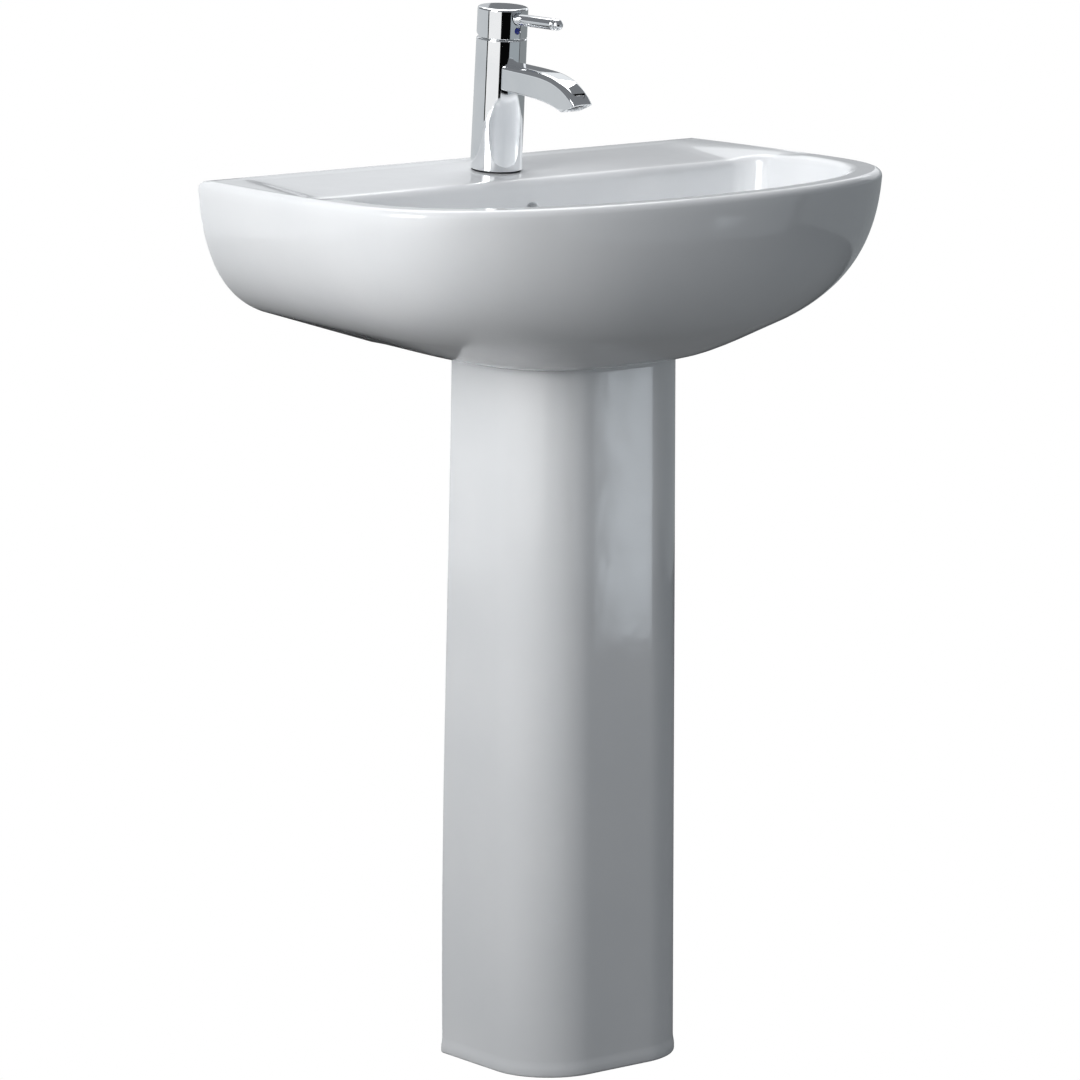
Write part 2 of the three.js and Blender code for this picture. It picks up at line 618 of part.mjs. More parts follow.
// Copper tails: square out of the tap, eased apart and upright, then down to their compression nuts.
tap.updateMatrixWorld(true);
const tapToWall = new THREE.Matrix4().compose(tap.position, tap.quaternion, tap.scale);
for (const [side, name] of [[-1, "hot"], [1, "cold"]]) {
  const start = [42, 0, -40].map((z) => new THREE.Vector3(side * TAIL.x, TAIL.y, z).applyMatrix4(tapToWall));
  const { y } = start[2];
  const x = side * TAIL.spread;
  const backY = y + TAIL.easedBack;
  const bend = [(x + start[2].x) / 2, y + 0.8 * TAIL.easedBack, TAIL.straightBelow + 54];
  const end = [bend, ...[TAIL.straightBelow, TAIL.straightBelow - 40, TAIL.bottom].map((z) => [x, backY, z])];
  const points = [...start, ...end.map((p) => new THREE.Vector3(...p))];
  const route = new THREE.CatmullRomCurve3(points, false, "centripetal");
  const section = new THREE.Shape().absarc(0, 0, TAIL.radius, 0, 2 * Math.PI, false);
  const options = { steps: 18, extrudePath: route, curveSegments: 5, bevelEnabled: false };
  add(atWall, `${name}_supply_tail`, new THREE.ExtrudeGeometry(section, options), copper);
  const nut = hexagon(17, TAIL.radius + 0.5, TAIL.bottom + 2, TAIL.bottom + 16).translate(x, backY, 0);
  add(atWall, `${name}_tail_nut`, nut, brass);
}

// Waste, upright on its own axis.
const waste = new THREE.Group();
waste.position.set(0, WASTE.y, 0);
atWall.add(waste);
const seat = BASIN.rim - BOWL.depth;
const belly = BASIN.rim - BASIN.belly;
function wasteBody() {
  const { tube, bore, flange } = WASTE;
  const body = turned([
    [bore, belly - 46], [tube, belly - 46], [tube, seat + 1.6], [flange - 1, seat + 1.6], [flange, seat + 2.2],
    [flange - 1.4, seat + 4.4], [24.4, seat + 4.4], [tube, seat + 2.8], [bore, seat + 2.8],
  ], 36);
  const slot = block([-8, -30, OVERFLOW.low + 0.5], [8, 30, OVERFLOW.high - 0.5]);
  return cut(body, slot);
}
add(waste, "waste_body", wasteBody(), chrome);
add(waste, "waste_flange_seal", ring(tubeClear(), 29, seat + GAP, seat + 1.3, 28), rubber);
add(waste, "waste_lower_seal", ring(tubeClear(), 30, belly - 3.3, belly - GAP, 28), rubber);
add(waste, "waste_backnut", hexagon(52, tubeClear(), belly - 12, belly - 3.6), brass);
function tubeClear() {
  return WASTE.tube + 0.4;
}
// Push-button plug: a spider carries the latch; the plug's stem slides in it.
const spider = cut(ring(4.2, WASTE.bore - GAP, seat - 30, seat - 18, 28),
  ...[45, 135, 225, 315].map((a) => rod(4.6, -40, 0, 12).translate(10.6, 0, seat)
    .rotateZ(THREE.MathUtils.degToRad(a))));
add(waste, "plug_spider", spider, darkPlastic);
add(waste, "waste_plug", turned([
  [0, seat - 36], [3.8, seat - 36], [3.8, seat + 3.8], [9, seat + 5.2], [21.6, seat + 5.2],
  [22.4, seat + 6.2], [21.6, seat + 7.4], [12, seat + 8.4], [0, seat + 8.8],
], 36), chrome);
add(waste, "plug_seal", ring(9.4, 20, seat + 3.1, seat + 4.9, 28), rubber);

// Bottle trap.
const nutLow = belly - 60;
add(waste, "trap_inlet_pipe", turned([
  [13.6, 470], [TRAP.pipe, 470], [TRAP.pipe, nutLow + 6], [20, nutLow + 6], [20, belly - 46.4], [13.6, belly - 46.4],
], 28), whitePlastic);
add(waste, "trap_inlet_nut", turned([
  [16.4, nutLow], [25, nutLow], [26, nutLow + 2], [26, nutLow + 24], [20.9, nutLow + 24],
  [20.9, nutLow + 5.6], [16.4, nutLow + 5.6],
], 16), whitePlastic);
function trapBody() {
  const { cup, top, outlet } = TRAP;
  const bottle = turned([
    [24, 486], [cup, 486], [cup, top - 12], [21, top], [TRAP.pipe + 0.4, top], [TRAP.pipe + 0.4, top - 4],
    [24, top - 14],
  ], 32);
  const arm = rod(19, 22, 46, 24).rotateX(-Math.PI / 2).translate(0, 0, outlet);
  const bore = rod(TRAP.pipe + 0.4, 18, 50, 24).rotateX(-Math.PI / 2).translate(0, 0, outlet);
  return surface(solid(bottle).add(solid(arm)).subtract(solid(bore)));
}
add(waste, "trap_body", trapBody(), whitePlastic);
add(waste, "trap_top_nut", turned([
  [TRAP.pipe + 0.4, TRAP.top + GAP], [23, TRAP.top + GAP], [23, TRAP.top + 14], [TRAP.pipe + 0.4, TRAP.top + 14],
], 16), whitePlastic);
add(waste, "trap_cup", turned([
  [0, TRAP.low], [14, TRAP.low], [22, TRAP.low + 5], [TRAP.cup, TRAP.low + 18], [TRAP.cup, 485.7],
  [24, 485.7], [24, TRAP.low + 20], [20, TRAP.low + 9], [0, TRAP.low + 5],
], 32), whitePlastic);
const outletPipe = ring(13.6, TRAP.pipe, 30, TRAP.outletEnd, 24);
add(waste, "trap_outlet_pipe", outletPipe.rotateX(-Math.PI / 2).translate(0, 0, TRAP.outlet), whitePlastic);
const outletNut = turned([
  [TRAP.pipe + 0.4, 46 + GAP], [24, 46 + GAP], [24, 62], [22, 66], [TRAP.pipe + 0.4, 66],
], 16);
add(waste, "trap_outlet_nut", outletNut.rotateX(-Math.PI / 2).translate(0, 0, TRAP.outlet), whitePlastic);

export default sink;
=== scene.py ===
import json
import math

import bmesh
import bpy
from mathutils import Matrix, Vector


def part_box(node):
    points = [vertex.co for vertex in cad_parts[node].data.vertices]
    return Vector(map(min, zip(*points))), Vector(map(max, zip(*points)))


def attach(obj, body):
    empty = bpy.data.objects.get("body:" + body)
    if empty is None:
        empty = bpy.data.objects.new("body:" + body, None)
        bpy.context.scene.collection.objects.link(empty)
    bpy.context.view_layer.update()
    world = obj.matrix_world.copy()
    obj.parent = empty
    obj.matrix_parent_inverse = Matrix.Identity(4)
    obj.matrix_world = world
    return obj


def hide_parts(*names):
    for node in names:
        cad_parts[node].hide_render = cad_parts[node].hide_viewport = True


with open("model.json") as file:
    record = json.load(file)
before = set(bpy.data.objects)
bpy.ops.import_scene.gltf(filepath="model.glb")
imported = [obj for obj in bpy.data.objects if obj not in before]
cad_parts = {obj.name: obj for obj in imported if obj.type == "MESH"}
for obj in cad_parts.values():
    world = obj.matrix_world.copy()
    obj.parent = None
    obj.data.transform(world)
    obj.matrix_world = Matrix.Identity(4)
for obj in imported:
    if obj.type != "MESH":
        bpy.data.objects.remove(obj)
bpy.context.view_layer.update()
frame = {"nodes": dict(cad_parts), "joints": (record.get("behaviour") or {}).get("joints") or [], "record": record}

# Sizes below are in millimetres with the wall at y = 0, the front of the basin towards -y and the
# floor at z = 0. AT_WALL turns them into the frame's metres.
MM = 0.001
AT_WALL = Matrix.Translation((0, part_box("basin")[1].y, 0)) @ Matrix.Scale(MM, 4)


# ---- camera -----------------------------------------------------------------------------------
def camera():
    """The viewpoint: a long lens from the left front, looking slightly down."""
    data = bpy.data.cameras.new("camera")
    data.lens = 200
    data.sensor_width = 36
    data.clip_end = 200
    obj = bpy.data.objects.new("camera", data)
    bpy.context.scene.collection.objects.link(obj)
    azimuth, elevation, distance = math.radians(-38), math.radians(10.2), 5.62
    level = math.cos(elevation) * distance
    aim = AT_WALL @ Vector((-31.7, -175.2, 498.6))
    away = Vector((math.sin(azimuth) * level, -math.cos(azimuth) * level, math.sin(elevation) * distance))
    obj.location = aim + away
    obj.rotation_euler = (math.pi / 2 - elevation, 0, azimuth)
    bpy.context.scene.camera = obj


camera()

# ---- driving dimensions -------------------------------------------------------------------------
RIM = 840
BASIN = dict(half_back=295, half_max=300, depth=394, straight=150, belly=168, edge=7, fullness=11,
             tuck=0.035)
BOWL = dict(half=270, back=123, front=367, corner=30, lip=9, depth=149)
DECK_SLOPE = math.radians(4.2)
DECK_FLAT = 246
DECK_RISE = 0.26
FOOT = dict(half=98, front=256, corner=62, wall=11, back_top=124, back_floor=106, inner_return=22)
LIP_HEIGHT, LIP_PROUD = 12, 1.2
WASTE_Y = -212
SEAT_RADIUS, HOLE_RADIUS = 33, 22.5
SEAT = RIM - BOWL["depth"]
BELLY = RIM - BASIN["belly"]
BACK_WALL = 14
OVERFLOW_HEIGHT = 801
BOLT_X, BOLT_HEIGHT = 140, 762
SCREW_X, SCREW_Y = 62, -132


def wall_bolt_axis(side):
    """+Z out of the wall along the bolt on the left (-1) or right (1)."""
    place = Matrix.Translation((side * BOLT_X, 0, BOLT_HEIGHT)) @ Matrix.Rotation(math.pi / 2, 4, "X")
    return AT_WALL @ place


def floor_screw_axis(side):
    return AT_WALL @ Matrix.Translation((side * SCREW_X, SCREW_Y, 0))


# ---- small maths --------------------------------------------------------------------------------
def blend(a, b, t):
    return a + (b - a) * t


def ease(t):
    t = min(max(t, 0.0), 1.0)
    return t * t * (3 - 2 * t)


def mix(p, q, t):
    return tuple(blend(a, b, t) for a, b in zip(p, q))


def bezier(points, t):
    """A point of the cubic curve through four control points."""
    weights = ((1 - t) ** 3, 3 * t * (1 - t) ** 2, 3 * t * t * (1 - t), t ** 3)
    return tuple(sum(w * p[k] for w, p in zip(weights, points)) for k in range(len(points[0])))


def catmull(values, t):
    """Smooth value at t in 0..1 through equally spaced values."""
    span = t * (len(values) - 1)
    i = min(int(span), len(values) - 2)
    u = span - i
    p1, p2 = values[i], values[i + 1]
    p0 = values[i - 1] if i else 2 * p1 - p2
    p3 = values[i + 2] if i + 2 < len(values) else 2 * p2 - p1
    return 0.5 * (2 * p1 + (p2 - p0) * u + (2 * p0 - 5 * p1 + 4 * p2 - p3) * u * u
                  + (3 * p1 - p0 - 3 * p2 + p3) * u ** 3)


class Path:
    """A polyline that can be asked for the point at a fraction of its length."""

    def __init__(self, points):
        self.points = points
        self.marks = [0.0]
        for p, q in zip(points, points[1:]):
            self.marks.append(self.marks[-1] + math.dist(p, q))

    def at(self, fraction):
        goal = fraction * self.marks[-1]
        for i in range(len(self.points) - 1):
            if self.marks[i + 1] >= goal:
                step = self.marks[i + 1] - self.marks[i]
                return mix(self.points[i], self.points[i + 1], (goal - self.marks[i]) / (step or 1))
        return self.points[-1]

    def fraction(self, point):
        """Fraction of the length at the vertex nearest to the point."""
        nearest = min(range(len(self.points)), key=lambda i: math.dist(self.points[i], point))
        return self.marks[nearest] / self.marks[-1]


# ---- mesh helpers -------------------------------------------------------------------------------
SHARP = 32


def finish_mesh(name, bm):
    """Cleans a bmesh, turns it into an object and shades it smooth between sharp edges."""
    bmesh.ops.remove_doubles(bm, verts=bm.verts, dist=2e-6)
    bmesh.ops.dissolve_degenerate(bm, edges=bm.edges, dist=1e-6)
    bmesh.ops.recalc_face_normals(bm, faces=bm.faces)
    mesh = bpy.data.meshes.new(name)
    bm.to_mesh(mesh)
    bm.free()
    obj = bpy.data.objects.new(name, mesh)
    bpy.context.scene.collection.objects.link(obj)
    shade(obj, SHARP)
    return obj


def shade(obj, sharp):
    """Shades smooth, but keeps edges that turn by more than the given degrees."""
    for polygon in obj.data.polygons:
        polygon.use_smooth = True
    obj.data.set_sharp_from_angle(angle=math.radians(sharp))


def skin(name, rows, matrix, loop_rows=False, caps=False):
    """Quads over rows of equal-count points. Each row is a closed ring."""
    bm = bmesh.new()
    grid = [[bm.verts.new(matrix @ Vector(p)) for p in row] for row in rows]
    count = len(rows[0])
    last = len(grid) if loop_rows else len(grid) - 1
    for k in range(last):
        low, high = grid[k], grid[(k + 1) % len(grid)]
        for i in range(count):
            j = (i + 1) % count
            bm.faces.new((low[i], low[j], high[j], high[i]))
    if caps:
        bm.faces.new(grid[0])
        bm.faces.new(grid[-1])
    return finish_mesh(name, bm)


def rounded(profile, radius, steps=4):
    """The closed profile with its corners off the axis rounded."""
    result = []
    for i, corner in enumerate(profile):
        if corner[0] < 1e-6 or radius == 0:
            result.append(corner)
            continue
        neighbours = profile[i - 1], profile[(i + 1) % len(profile)]
        start, end = (mix(corner, p, min(0.45, radius / (math.dist(corner, p) or 1))) for p in neighbours)
        for k in range(steps + 1):
            t = k / steps
            result.append(mix(mix(start, corner, t), mix(corner, end, t), t))
    return result


def spin(name, profile, matrix, segments=96, rounding=0.5, shape=None):
    """A closed profile of (radius, height) pairs spun about +Z; shape may change the radius."""
    rows = []
    for r, z in rounded(profile, rounding):
        ring = []
        for i in range(segments):
            angle = 2 * math.pi * i / segments
            reach = shape(r, z, angle) if shape else r
            ring.append((reach * math.cos(angle), reach * math.sin(angle), z))
        rows.append(ring)
    return skin(name, rows, matrix, loop_rows=True)


def box(name, low, high, matrix):
    """A plain cutter block."""
    corners = [(low[0], low[1]), (high[0], low[1]), (high[0], high[1]), (low[0], high[1])]
    rows = [[(x, y, z) for x, y in corners] for z in (low[2], high[2])]
    return skin(name, rows, matrix, caps=True)


def combine(obj, tools, operation="DIFFERENCE", sharp=SHARP):
    """Cuts or joins the tools into the object, then removes them."""
    for tool in tools:
        modifier = obj.modifiers.new("combine", "BOOLEAN")
        modifier.operation = operation
        modifier.solver = "EXACT"
        modifier.object = tool
    depsgraph = bpy.context.evaluated_depsgraph_get()
    mesh = bpy.data.meshes.new_from_object(obj.evaluated_get(depsgraph))
    obj.modifiers.clear()
    obj.data = mesh
    for tool in tools:
        bpy.data.objects.remove(tool)
    shade(obj, sharp)
    return obj


# ---- basin ----------------------------------------------------------------------------------------
def front_curve(half, depth, angle):
    """Point of the D's bow: 0 at its side, a right angle at its foremost point."""
    straight = BASIN["straight"]
    return half * math.cos(angle), -straight - (depth - straight) * math.sqrt(math.sin(angle))


def rim_path():
    """From the back corner round the side to the middle of the front."""
    half_back, half_max, straight = BASIN["half_back"], BASIN["half_max"], BASIN["straight"]
    side = [(half_max - (half_max - half_back) * (1 - t / 30) ** 2, -straight * t / 30) for t in range(30)]
    front = [front_curve(half_max, BASIN["depth"], math.pi / 2 * (i / 240) ** 1.5) for i in range(241)]
    return Path(side + front)


def foot_path():
    """From the back corner of the pedestal's outline to the middle of its front."""
    half, front, corner = FOOT["half"], FOOT["front"], FOOT["corner"]
    side = [(half, -(front - corner) * i / 20) for i in range(20)]
    bend = [(half - corner + corner * math.cos(math.pi / 2 * i / 30),
             -(front - corner) - corner * math.sin(math.pi / 2 * i / 30)) for i in range(31)]
    return Path(side + bend + [(0, -front)])


def deck_drop(x, y):
    """How far the deck lies below the rim: it falls towards the bowl and rises to the side rims."""
    beyond = abs(x) - DECK_FLAT
    climb = 0.5 * (beyond + math.hypot(beyond, 7)) * DECK_RISE
    fall = -y * math.tan(DECK_SLOPE) - climb
    soft = 0.5 * (fall + math.hypot(fall, 2))
    front_fade = 1 - ease((-y - BOWL["back"] - 20) / 50)
    return soft * front_fade * ease(-y / 10)


def half_columns():
    """For each column from the back's middle to the front's middle: rim point, bowl point, foot point."""
    rim, foot = rim_path(), foot_path()
    columns = []
    corner, half = BOWL["corner"], BOWL["half"]
    flat = half - corner
    outer_flat = flat * 1.06
    backs = 20
    for i in range(backs):
        t = i / backs
        columns.append(((outer_flat * t, 0), (flat * t, -BOWL["back"]), None))
    bends, behind = 16, 6
    straight = BASIN["straight"]
    first = math.asin(((corner + BOWL["back"] - straight) / (BOWL["front"] - straight)) ** 2)
    side_end = rim.fraction(front_curve(BASIN["half_max"], BASIN["depth"], first))
    for j in range(bends):
        angle = math.pi / 2 * j / bends
        bowl_point = (flat + corner * math.sin(angle), -BOWL["back"] - corner * (1 - math.cos(angle)))
        if j < behind:
            columns.append(((blend(outer_flat, BASIN["half_back"], j / behind), 0), bowl_point, None))
        else:
            along = side_end * (j - behind) / (bends - behind)
            columns.append((rim.at(along), bowl_point, foot.at(along)))
    fronts = 60
    for k in range(fronts + 1):
        angle = blend(first, math.pi / 2, (k / fronts) ** 1.35)
        rim_point = front_curve(BASIN["half_max"], BASIN["depth"], angle)
        bowl_point = front_curve(half, BOWL["front"], angle)
        columns.append((rim_point, bowl_point, foot.at(rim.fraction(rim_point))))
    scale = FOOT["half"] / BASIN["half_back"]
    return [(r, b, f or (r[0] * scale, 0)) for r, b, f in columns]


def outward(points, i):
    """Unit normal of an outline at point i, pointing out when the outline runs anticlockwise."""
    p, q = points[i - 1], points[(i + 1) % len(points)]
    length = math.dist(p, q)
    return (q[1] - p[1]) / length, -(q[0] - p[0]) / length


def hull_levels():
    """The outside from the pedestal up: (inward share, drop below the rim)."""
    kink = (0.36, 128)
    levels = [mix((1, BASIN["belly"]), kink, k / 9) for k in range(9)]
    wall = [(0, BASIN["edge"]), (0.02, 70), (0.13, 111), kink]
    return levels + [bezier(wall, 1 - k / 26) for k in range(27)]


def bowl_levels():
    """The inside from the lip down: (inward share, drop below the bowl's edge)."""
    turn = (0.22, 114)
    wall = [(0, BOWL["lip"]), (0.02, 62), (0.05, 104), turn]
    floor_levels = [mix(turn, (1, BOWL["depth"]), k / 12) for k in range(13)]
    return [bezier(wall, k / 20) for k in range(1, 20)] + floor_levels


def rim_inward(rims, i):
    """Unit direction into the basin at rim point i; the back is straight, with square corners."""
    x, y = rims[i]
    if y <= -0.01:
        nx, ny = outward(rims, i)
        return -nx, -ny
    at_corner = abs(x) > BASIN["half_back"] - 1
    return (-math.copysign(1, x) if at_corner else 0), -1


def on_waste(radius, direction, z):
    """Point of a circle about the waste's axis."""
    return radius * direction[0], WASTE_Y + radius * direction[1], z


def on_roll(start, normal, radius, angle, top):
    """Point of a rounded edge, which leaves start and reaches the height top at 90 degrees."""
    out = radius * (1 - math.cos(math.radians(angle)))
    below = radius * (1 - math.sin(math.radians(angle)))
    return start[0] + normal[0] * out, start[1] + normal[1] * out, top - below


def basin_strip(rim, edge, foot, rim_normal, edge_normal, direction):
    """One section: along the underside, up the outside, over the deck and down the bowl to the hole."""
    strip = [mix(on_waste(HOLE_RADIUS, direction, BELLY), (*foot, BELLY), t / 5) for t in range(5)]
    forward = -rim[1] / BASIN["depth"]
    for share, drop in hull_levels():
        reach = share + BASIN["tuck"] * 4 * share * (1 - share) * forward
        bulge = BASIN["fullness"] * 6.75 * share * share * (1 - share) * forward
        strip.append((*mix(rim, foot, reach), RIM - drop - bulge))
    strip += [on_roll(rim, rim_normal, BASIN["edge"], angle, RIM) for angle in range(15, 91, 15)]
    lip = BOWL["lip"]
    start = strip[-1][:2]
    end = (edge[0] + edge_normal[0] * lip, edge[1] + edge_normal[1] * lip)
    for t in range(1, 15):
        point = mix(start, end, t / 14)
        strip.append((*point, RIM - deck_drop(*point)))
    edge_drop = deck_drop(*end)
    strip += [on_roll(edge, edge_normal, lip, angle, RIM - edge_drop) for angle in range(75, -1, -15)]
    seat = on_waste(SEAT_RADIUS, direction, SEAT)
    for share, drop in bowl_levels():
        height = RIM - drop - edge_drop * (1 - drop / BOWL["depth"])
        strip.append((*mix(edge, seat[:2], share), height))
    chamfer = 1.5
    return strip + [on_waste(HOLE_RADIUS + chamfer, direction, SEAT),
                    on_waste(HOLE_RADIUS, direction, SEAT - chamfer)]


def basin():
    half = half_columns()
    columns = [((-r[0], r[1]), (-b[0], b[1]), (-f[0], f[1])) for r, b, f in half] + half[-2:0:-1]
    rims, edges = ([column[k] for column in columns] for k in range(2))
    edge_path = Path([b for _, b, _ in half])
    strips = []
    for i, (rim, edge, foot) in enumerate(columns):
        turn = math.pi * edge_path.fraction((abs(edge[0]), edge[1]))
        direction = (math.copysign(math.sin(turn), edge[0] or 1), math.cos(turn))
        strips.append(basin_strip(rim, edge, foot, rim_inward(rims, i), outward(edges, i), direction))
    rows = [list(row) for row in zip(*strips)]
    shell = skin("basin_ceramic", rows, AT_WALL, loop_rows=True)
    return combine(shell, basin_cutters())


def basin_cutters():
    """Hollow under the deck, tap hole, overflow hole and the two wall bolt holes."""
    room = box("room", (-160, -101, 712), (160, -BACK_WALL, RIM), AT_WALL)
    shaft = box("shaft", (-84, -101, BELLY - 20), (84, -BACK_WALL, 717), AT_WALL)
    ceiling = box("ceiling", (-200, -100, -15), (200, 100, 60), TAP)
    cavity = combine(combine(room, [shaft], "UNION"), [ceiling])
    tap_hole = spin("tap_hole", [(0, -30), (17.5, -30), (17.5, 10), (0, 10)], TAP, rounding=0)
    mouth = Matrix.Translation((0, -BOWL["back"], OVERFLOW_HEIGHT)) @ Matrix.Rotation(math.pi / 2, 4, "X")
    flare = [(0, -13), (8, -13), (8, -1.5), (8.6, 0.2), (10.2, 1.6), (14, 3), (0, 3)]
    overflow = spin("overflow", flare, AT_WALL @ mouth, rounding=0)
    bore = [(0, -5), (7, -5), (7, 20), (0, 20)]
    bolt_holes = [spin("bolt_hole", bore, wall_bolt_axis(side), rounding=0) for side in (-1, 1)]
    return [cavity, tap_hole, overflow, *bolt_holes]


# ---- pedestal -------------------------------------------------------------------------------------
def pedestal_back(z):
    """Distance of the back edges from the wall, flaring back on the way down."""
    t = ease((z - 60) / (BELLY + 70))
    return FOOT["back_floor"] + (FOOT["back_top"] - FOOT["back_floor"]) * t / 0.93


def pedestal_run(back, proud, inset):
    """Half of the U-shaped section, from the inward return to the middle of the front."""
    half, front, corner = (FOOT[k] + proud - inset for k in ("half", "front", "corner"))
    back += FOOT["wall"] if inset else 0
    soft = 0.8 if inset else 4
    inner = FOOT["half"] - FOOT["inner_return"]
    run = [(inner, -back), (blend(inner, half - soft, 0.5), -back)]
    for i in range(7):
        a = math.pi / 2 * i / 6
        run.append((half - soft + soft * math.sin(a), -back - soft * (1 - math.cos(a))))
    bend_start = -(front - corner)
    run += [(half, blend(-back - soft, bend_start, t / 8)) for t in range(1, 8)]
    for i in range(25):
        a = math.pi / 2 * i / 24
        run.append((half - corner + corner * math.cos(a), bend_start - corner * math.sin(a)))
    run += [((half - corner) * (1 - t / 5), -front) for t in range(1, 6)]
    return run


def pedestal_levels():
    """(height, outward growth) from the floor to the basin, with a soft lip at the foot."""
    levels = [(0, LIP_PROUD - 1.6), (0.5, LIP_PROUD - 0.7), (1.4, LIP_PROUD - 0.15), (2.6, LIP_PROUD)]
    levels += [(blend(5, LIP_HEIGHT + 4, k / 10), LIP_PROUD * (1 - ease(k / 10))) for k in range(11)]
    top = BELLY - 0.3
    levels += [(blend(LIP_HEIGHT + 14, top - 6, k / 40), 0) for k in range(41)]
    return levels + [(top - 1.8, 0), (top - 0.9, -0.25), (top - 0.3, -0.8), (top, -1.6)]


def pedestal_shell():
    """The U-shaped wall, as a closed loop of outside and inside at each level."""
    rows = []
    for z, proud in pedestal_levels():
        outer = pedestal_run(pedestal_back(z), proud, 0)
        inner = pedestal_run(pedestal_back(z), 0, FOOT["wall"])
        whole_outer = outer + [(-x, y) for x, y in outer[-2::-1]]
        whole_inner = inner + [(-x, y) for x, y in inner[-2::-1]]
        rows.append([(*p, z) for p in whole_outer + whole_inner[::-1]])
    bm = bmesh.new()
    grid = [[bm.verts.new(AT_WALL @ Vector(p)) for p in row] for row in rows]
    count = len(rows[0])
    for low, high in zip(grid, grid[1:]):
        for i in range(count):
            j = (i + 1) % count
            bm.faces.new((low[i], low[j], high[j], high[i]))
    for end in (grid[0], grid[-1]):
        for i in range(count // 2 - 1):
            bm.faces.new((end[i], end[i + 1], end[count - 2 - i], end[count - 1 - i]))
    return finish_mesh("pedestal_ceramic", bm)


def pedestal():
    """The shell with two lugs at the back of its foot, each with a screw hole."""
    lugs = []
    for side in (-1, 1):
        rows = [[(30 * cx * (1 - trim), 16 * cy * (1 - trim * 1.9), z) for cx, cy in lug_outline()]
                for z, trim in ((0, 0), (8.6, 0), (9.6, 0.015), (10, 0.05))]
        lugs.append(skin("lug", rows, floor_screw_axis(side), caps=True))
    shell = combine(pedestal_shell(), lugs, "UNION")
    bore = [(0, -5), (4, -5), (4, 15), (0, 15)]
    return combine(shell, [spin("hole", bore, floor_screw_axis(side), rounding=0) for side in (-1, 1)])


def lug_outline():
    """A rectangle of half size 1 with rounded corners."""
    outline = []
    for cx, cy, start in ((0.8, 0.62, 0), (-0.8, 0.62, 90), (-0.8, -0.62, 180), (0.8, -0.62, 270)):
        for k in range(7):
            a = math.radians(start + 15 * k)
            outline.append((cx + 0.2 * math.cos(a), cy + 0.38 * math.sin(a)))
    return outline


# ---- tap, in its leaning frame: origin on the deck, +Z along the body ------------------------------
PIVOT_HEIGHT = 130


def tap_frame():
    """Read from the swivel joint, whose place is the handle's pivot."""
    joint = next(j for j in frame["joints"] if j["name"] == "handle_swivel")
    axis = Vector(joint["axis"]).normalized()
    lean = math.atan2(-axis.y, axis.z)
    origin = Vector(joint["pos_m"]) - axis * PIVOT_HEIGHT * MM
    return Matrix.Translation(origin) @ Matrix.Rotation(lean, 4, "X") @ Matrix.Scale(MM, 4)


TAP = tap_frame()
# Radii of the body at its base and top, then heights above the deck.
TAP_BASE, TAP_TOP = 24.4, 23.8
BODY_TOP, CAP_LOW, CAP_TOP = 126.2, 126.8, 155.4
INDICATOR_HEIGHT = 135.4
# Top and underside as (forward, up) and half width, from inside the body to the outlet.
SPOUT = [
    ((12, 104.3), (12, 80.1), 13.5),
    ((34, 104.5), (34, 79.7), 13.5),
    ((58, 104.7), (54, 79.5), 13.4),
    ((79, 104.1), (71, 79.1), 13.2),
    ((96, 101.5), (83, 78.1), 12.8),
    ((110.5, 96.3), (93, 76.5), 12.3),
    ((121.5, 89.5), (101, 74.5), 11.8),
    ((129.5, 82.5), (107.5, 72.5), 11.3),
]
LEVER = dict(height=144.9, rise=math.radians(3.5), radius=5.4, reach=88.5)


def outlet_frame():
    """+Z back up the spout from the middle of its end face."""
    (tx, tz), (ux, uz), _ = SPOUT[-1]
    tilt = math.atan2(tz - uz, tx - ux)
    return TAP @ Matrix.Translation((0, -(tx + ux) / 2, (tz + uz) / 2)) @ Matrix.Rotation(-tilt, 4, "X")


def spout_section(width, half, bevel=3.6):
    """Outline across the spout: flat sides with bevelled shoulders."""
    corners = [(0, -half), (width, -half), (width, half - bevel), (width - bevel, half), (0, half)]
    side = rounded(corners, 1.7)
    return side + [(-x, y) for x, y in reversed(side[1:-1])]


def spout():
    """A flattened tube that arches forward and turns down, with its end face rounded off."""
    steps = 56
    nose = [(0, 0), (0.2, 0.221), (0.55, 0.382), (1.1, 0.454)]
    stations = [(k / steps, 0, 0) for k in range(steps)] + [(1, tuck, ahead) for tuck, ahead in nose]
    rows = []
    for t, tuck, ahead in stations:
        top = [catmull([s[0][n] for s in SPOUT], t) for n in range(2)]
        under = [catmull([s[1][n] for s in SPOUT], t) for n in range(2)]
        width = catmull([s[2] for s in SPOUT], t) - tuck
        length = math.dist(top, under)
        half = length / 2 - tuck
        up = [(a - b) / length for a, b in zip(top, under)]
        centre = ((top[0] + under[0]) / 2 + up[1] * ahead, (top[1] + under[1]) / 2 - up[0] * ahead)
        rows.append([(x, -(centre[0] + up[0] * y), centre[1] + up[1] * y)
                     for x, y in spout_section(width, half)])
    return skin("spout", rows, TAP, caps=True)


def tap_body():
    profile = [(0, 1.6), (TAP_BASE - 0.5, 1.6), (TAP_BASE, 2.1), (TAP_TOP, BODY_TOP - 0.9),
               (TAP_TOP - 0.9, BODY_TOP), (18.6, BODY_TOP), (18.3, BODY_TOP - 0.3), (18.3, 89), (0, 89)]
    body = spin("tap_chrome_body", profile, TAP, segments=160, rounding=0.3)
    body = combine(body, [spout()], "UNION", sharp=28)
    bore = [(0, -6), (10.2, -6), (10.2, -0.4), (9.6, 0.4), (9.6, 12), (0, 12)]
    return combine(body, [spin("mouth", bore, outlet_frame(), rounding=0)], sharp=28)


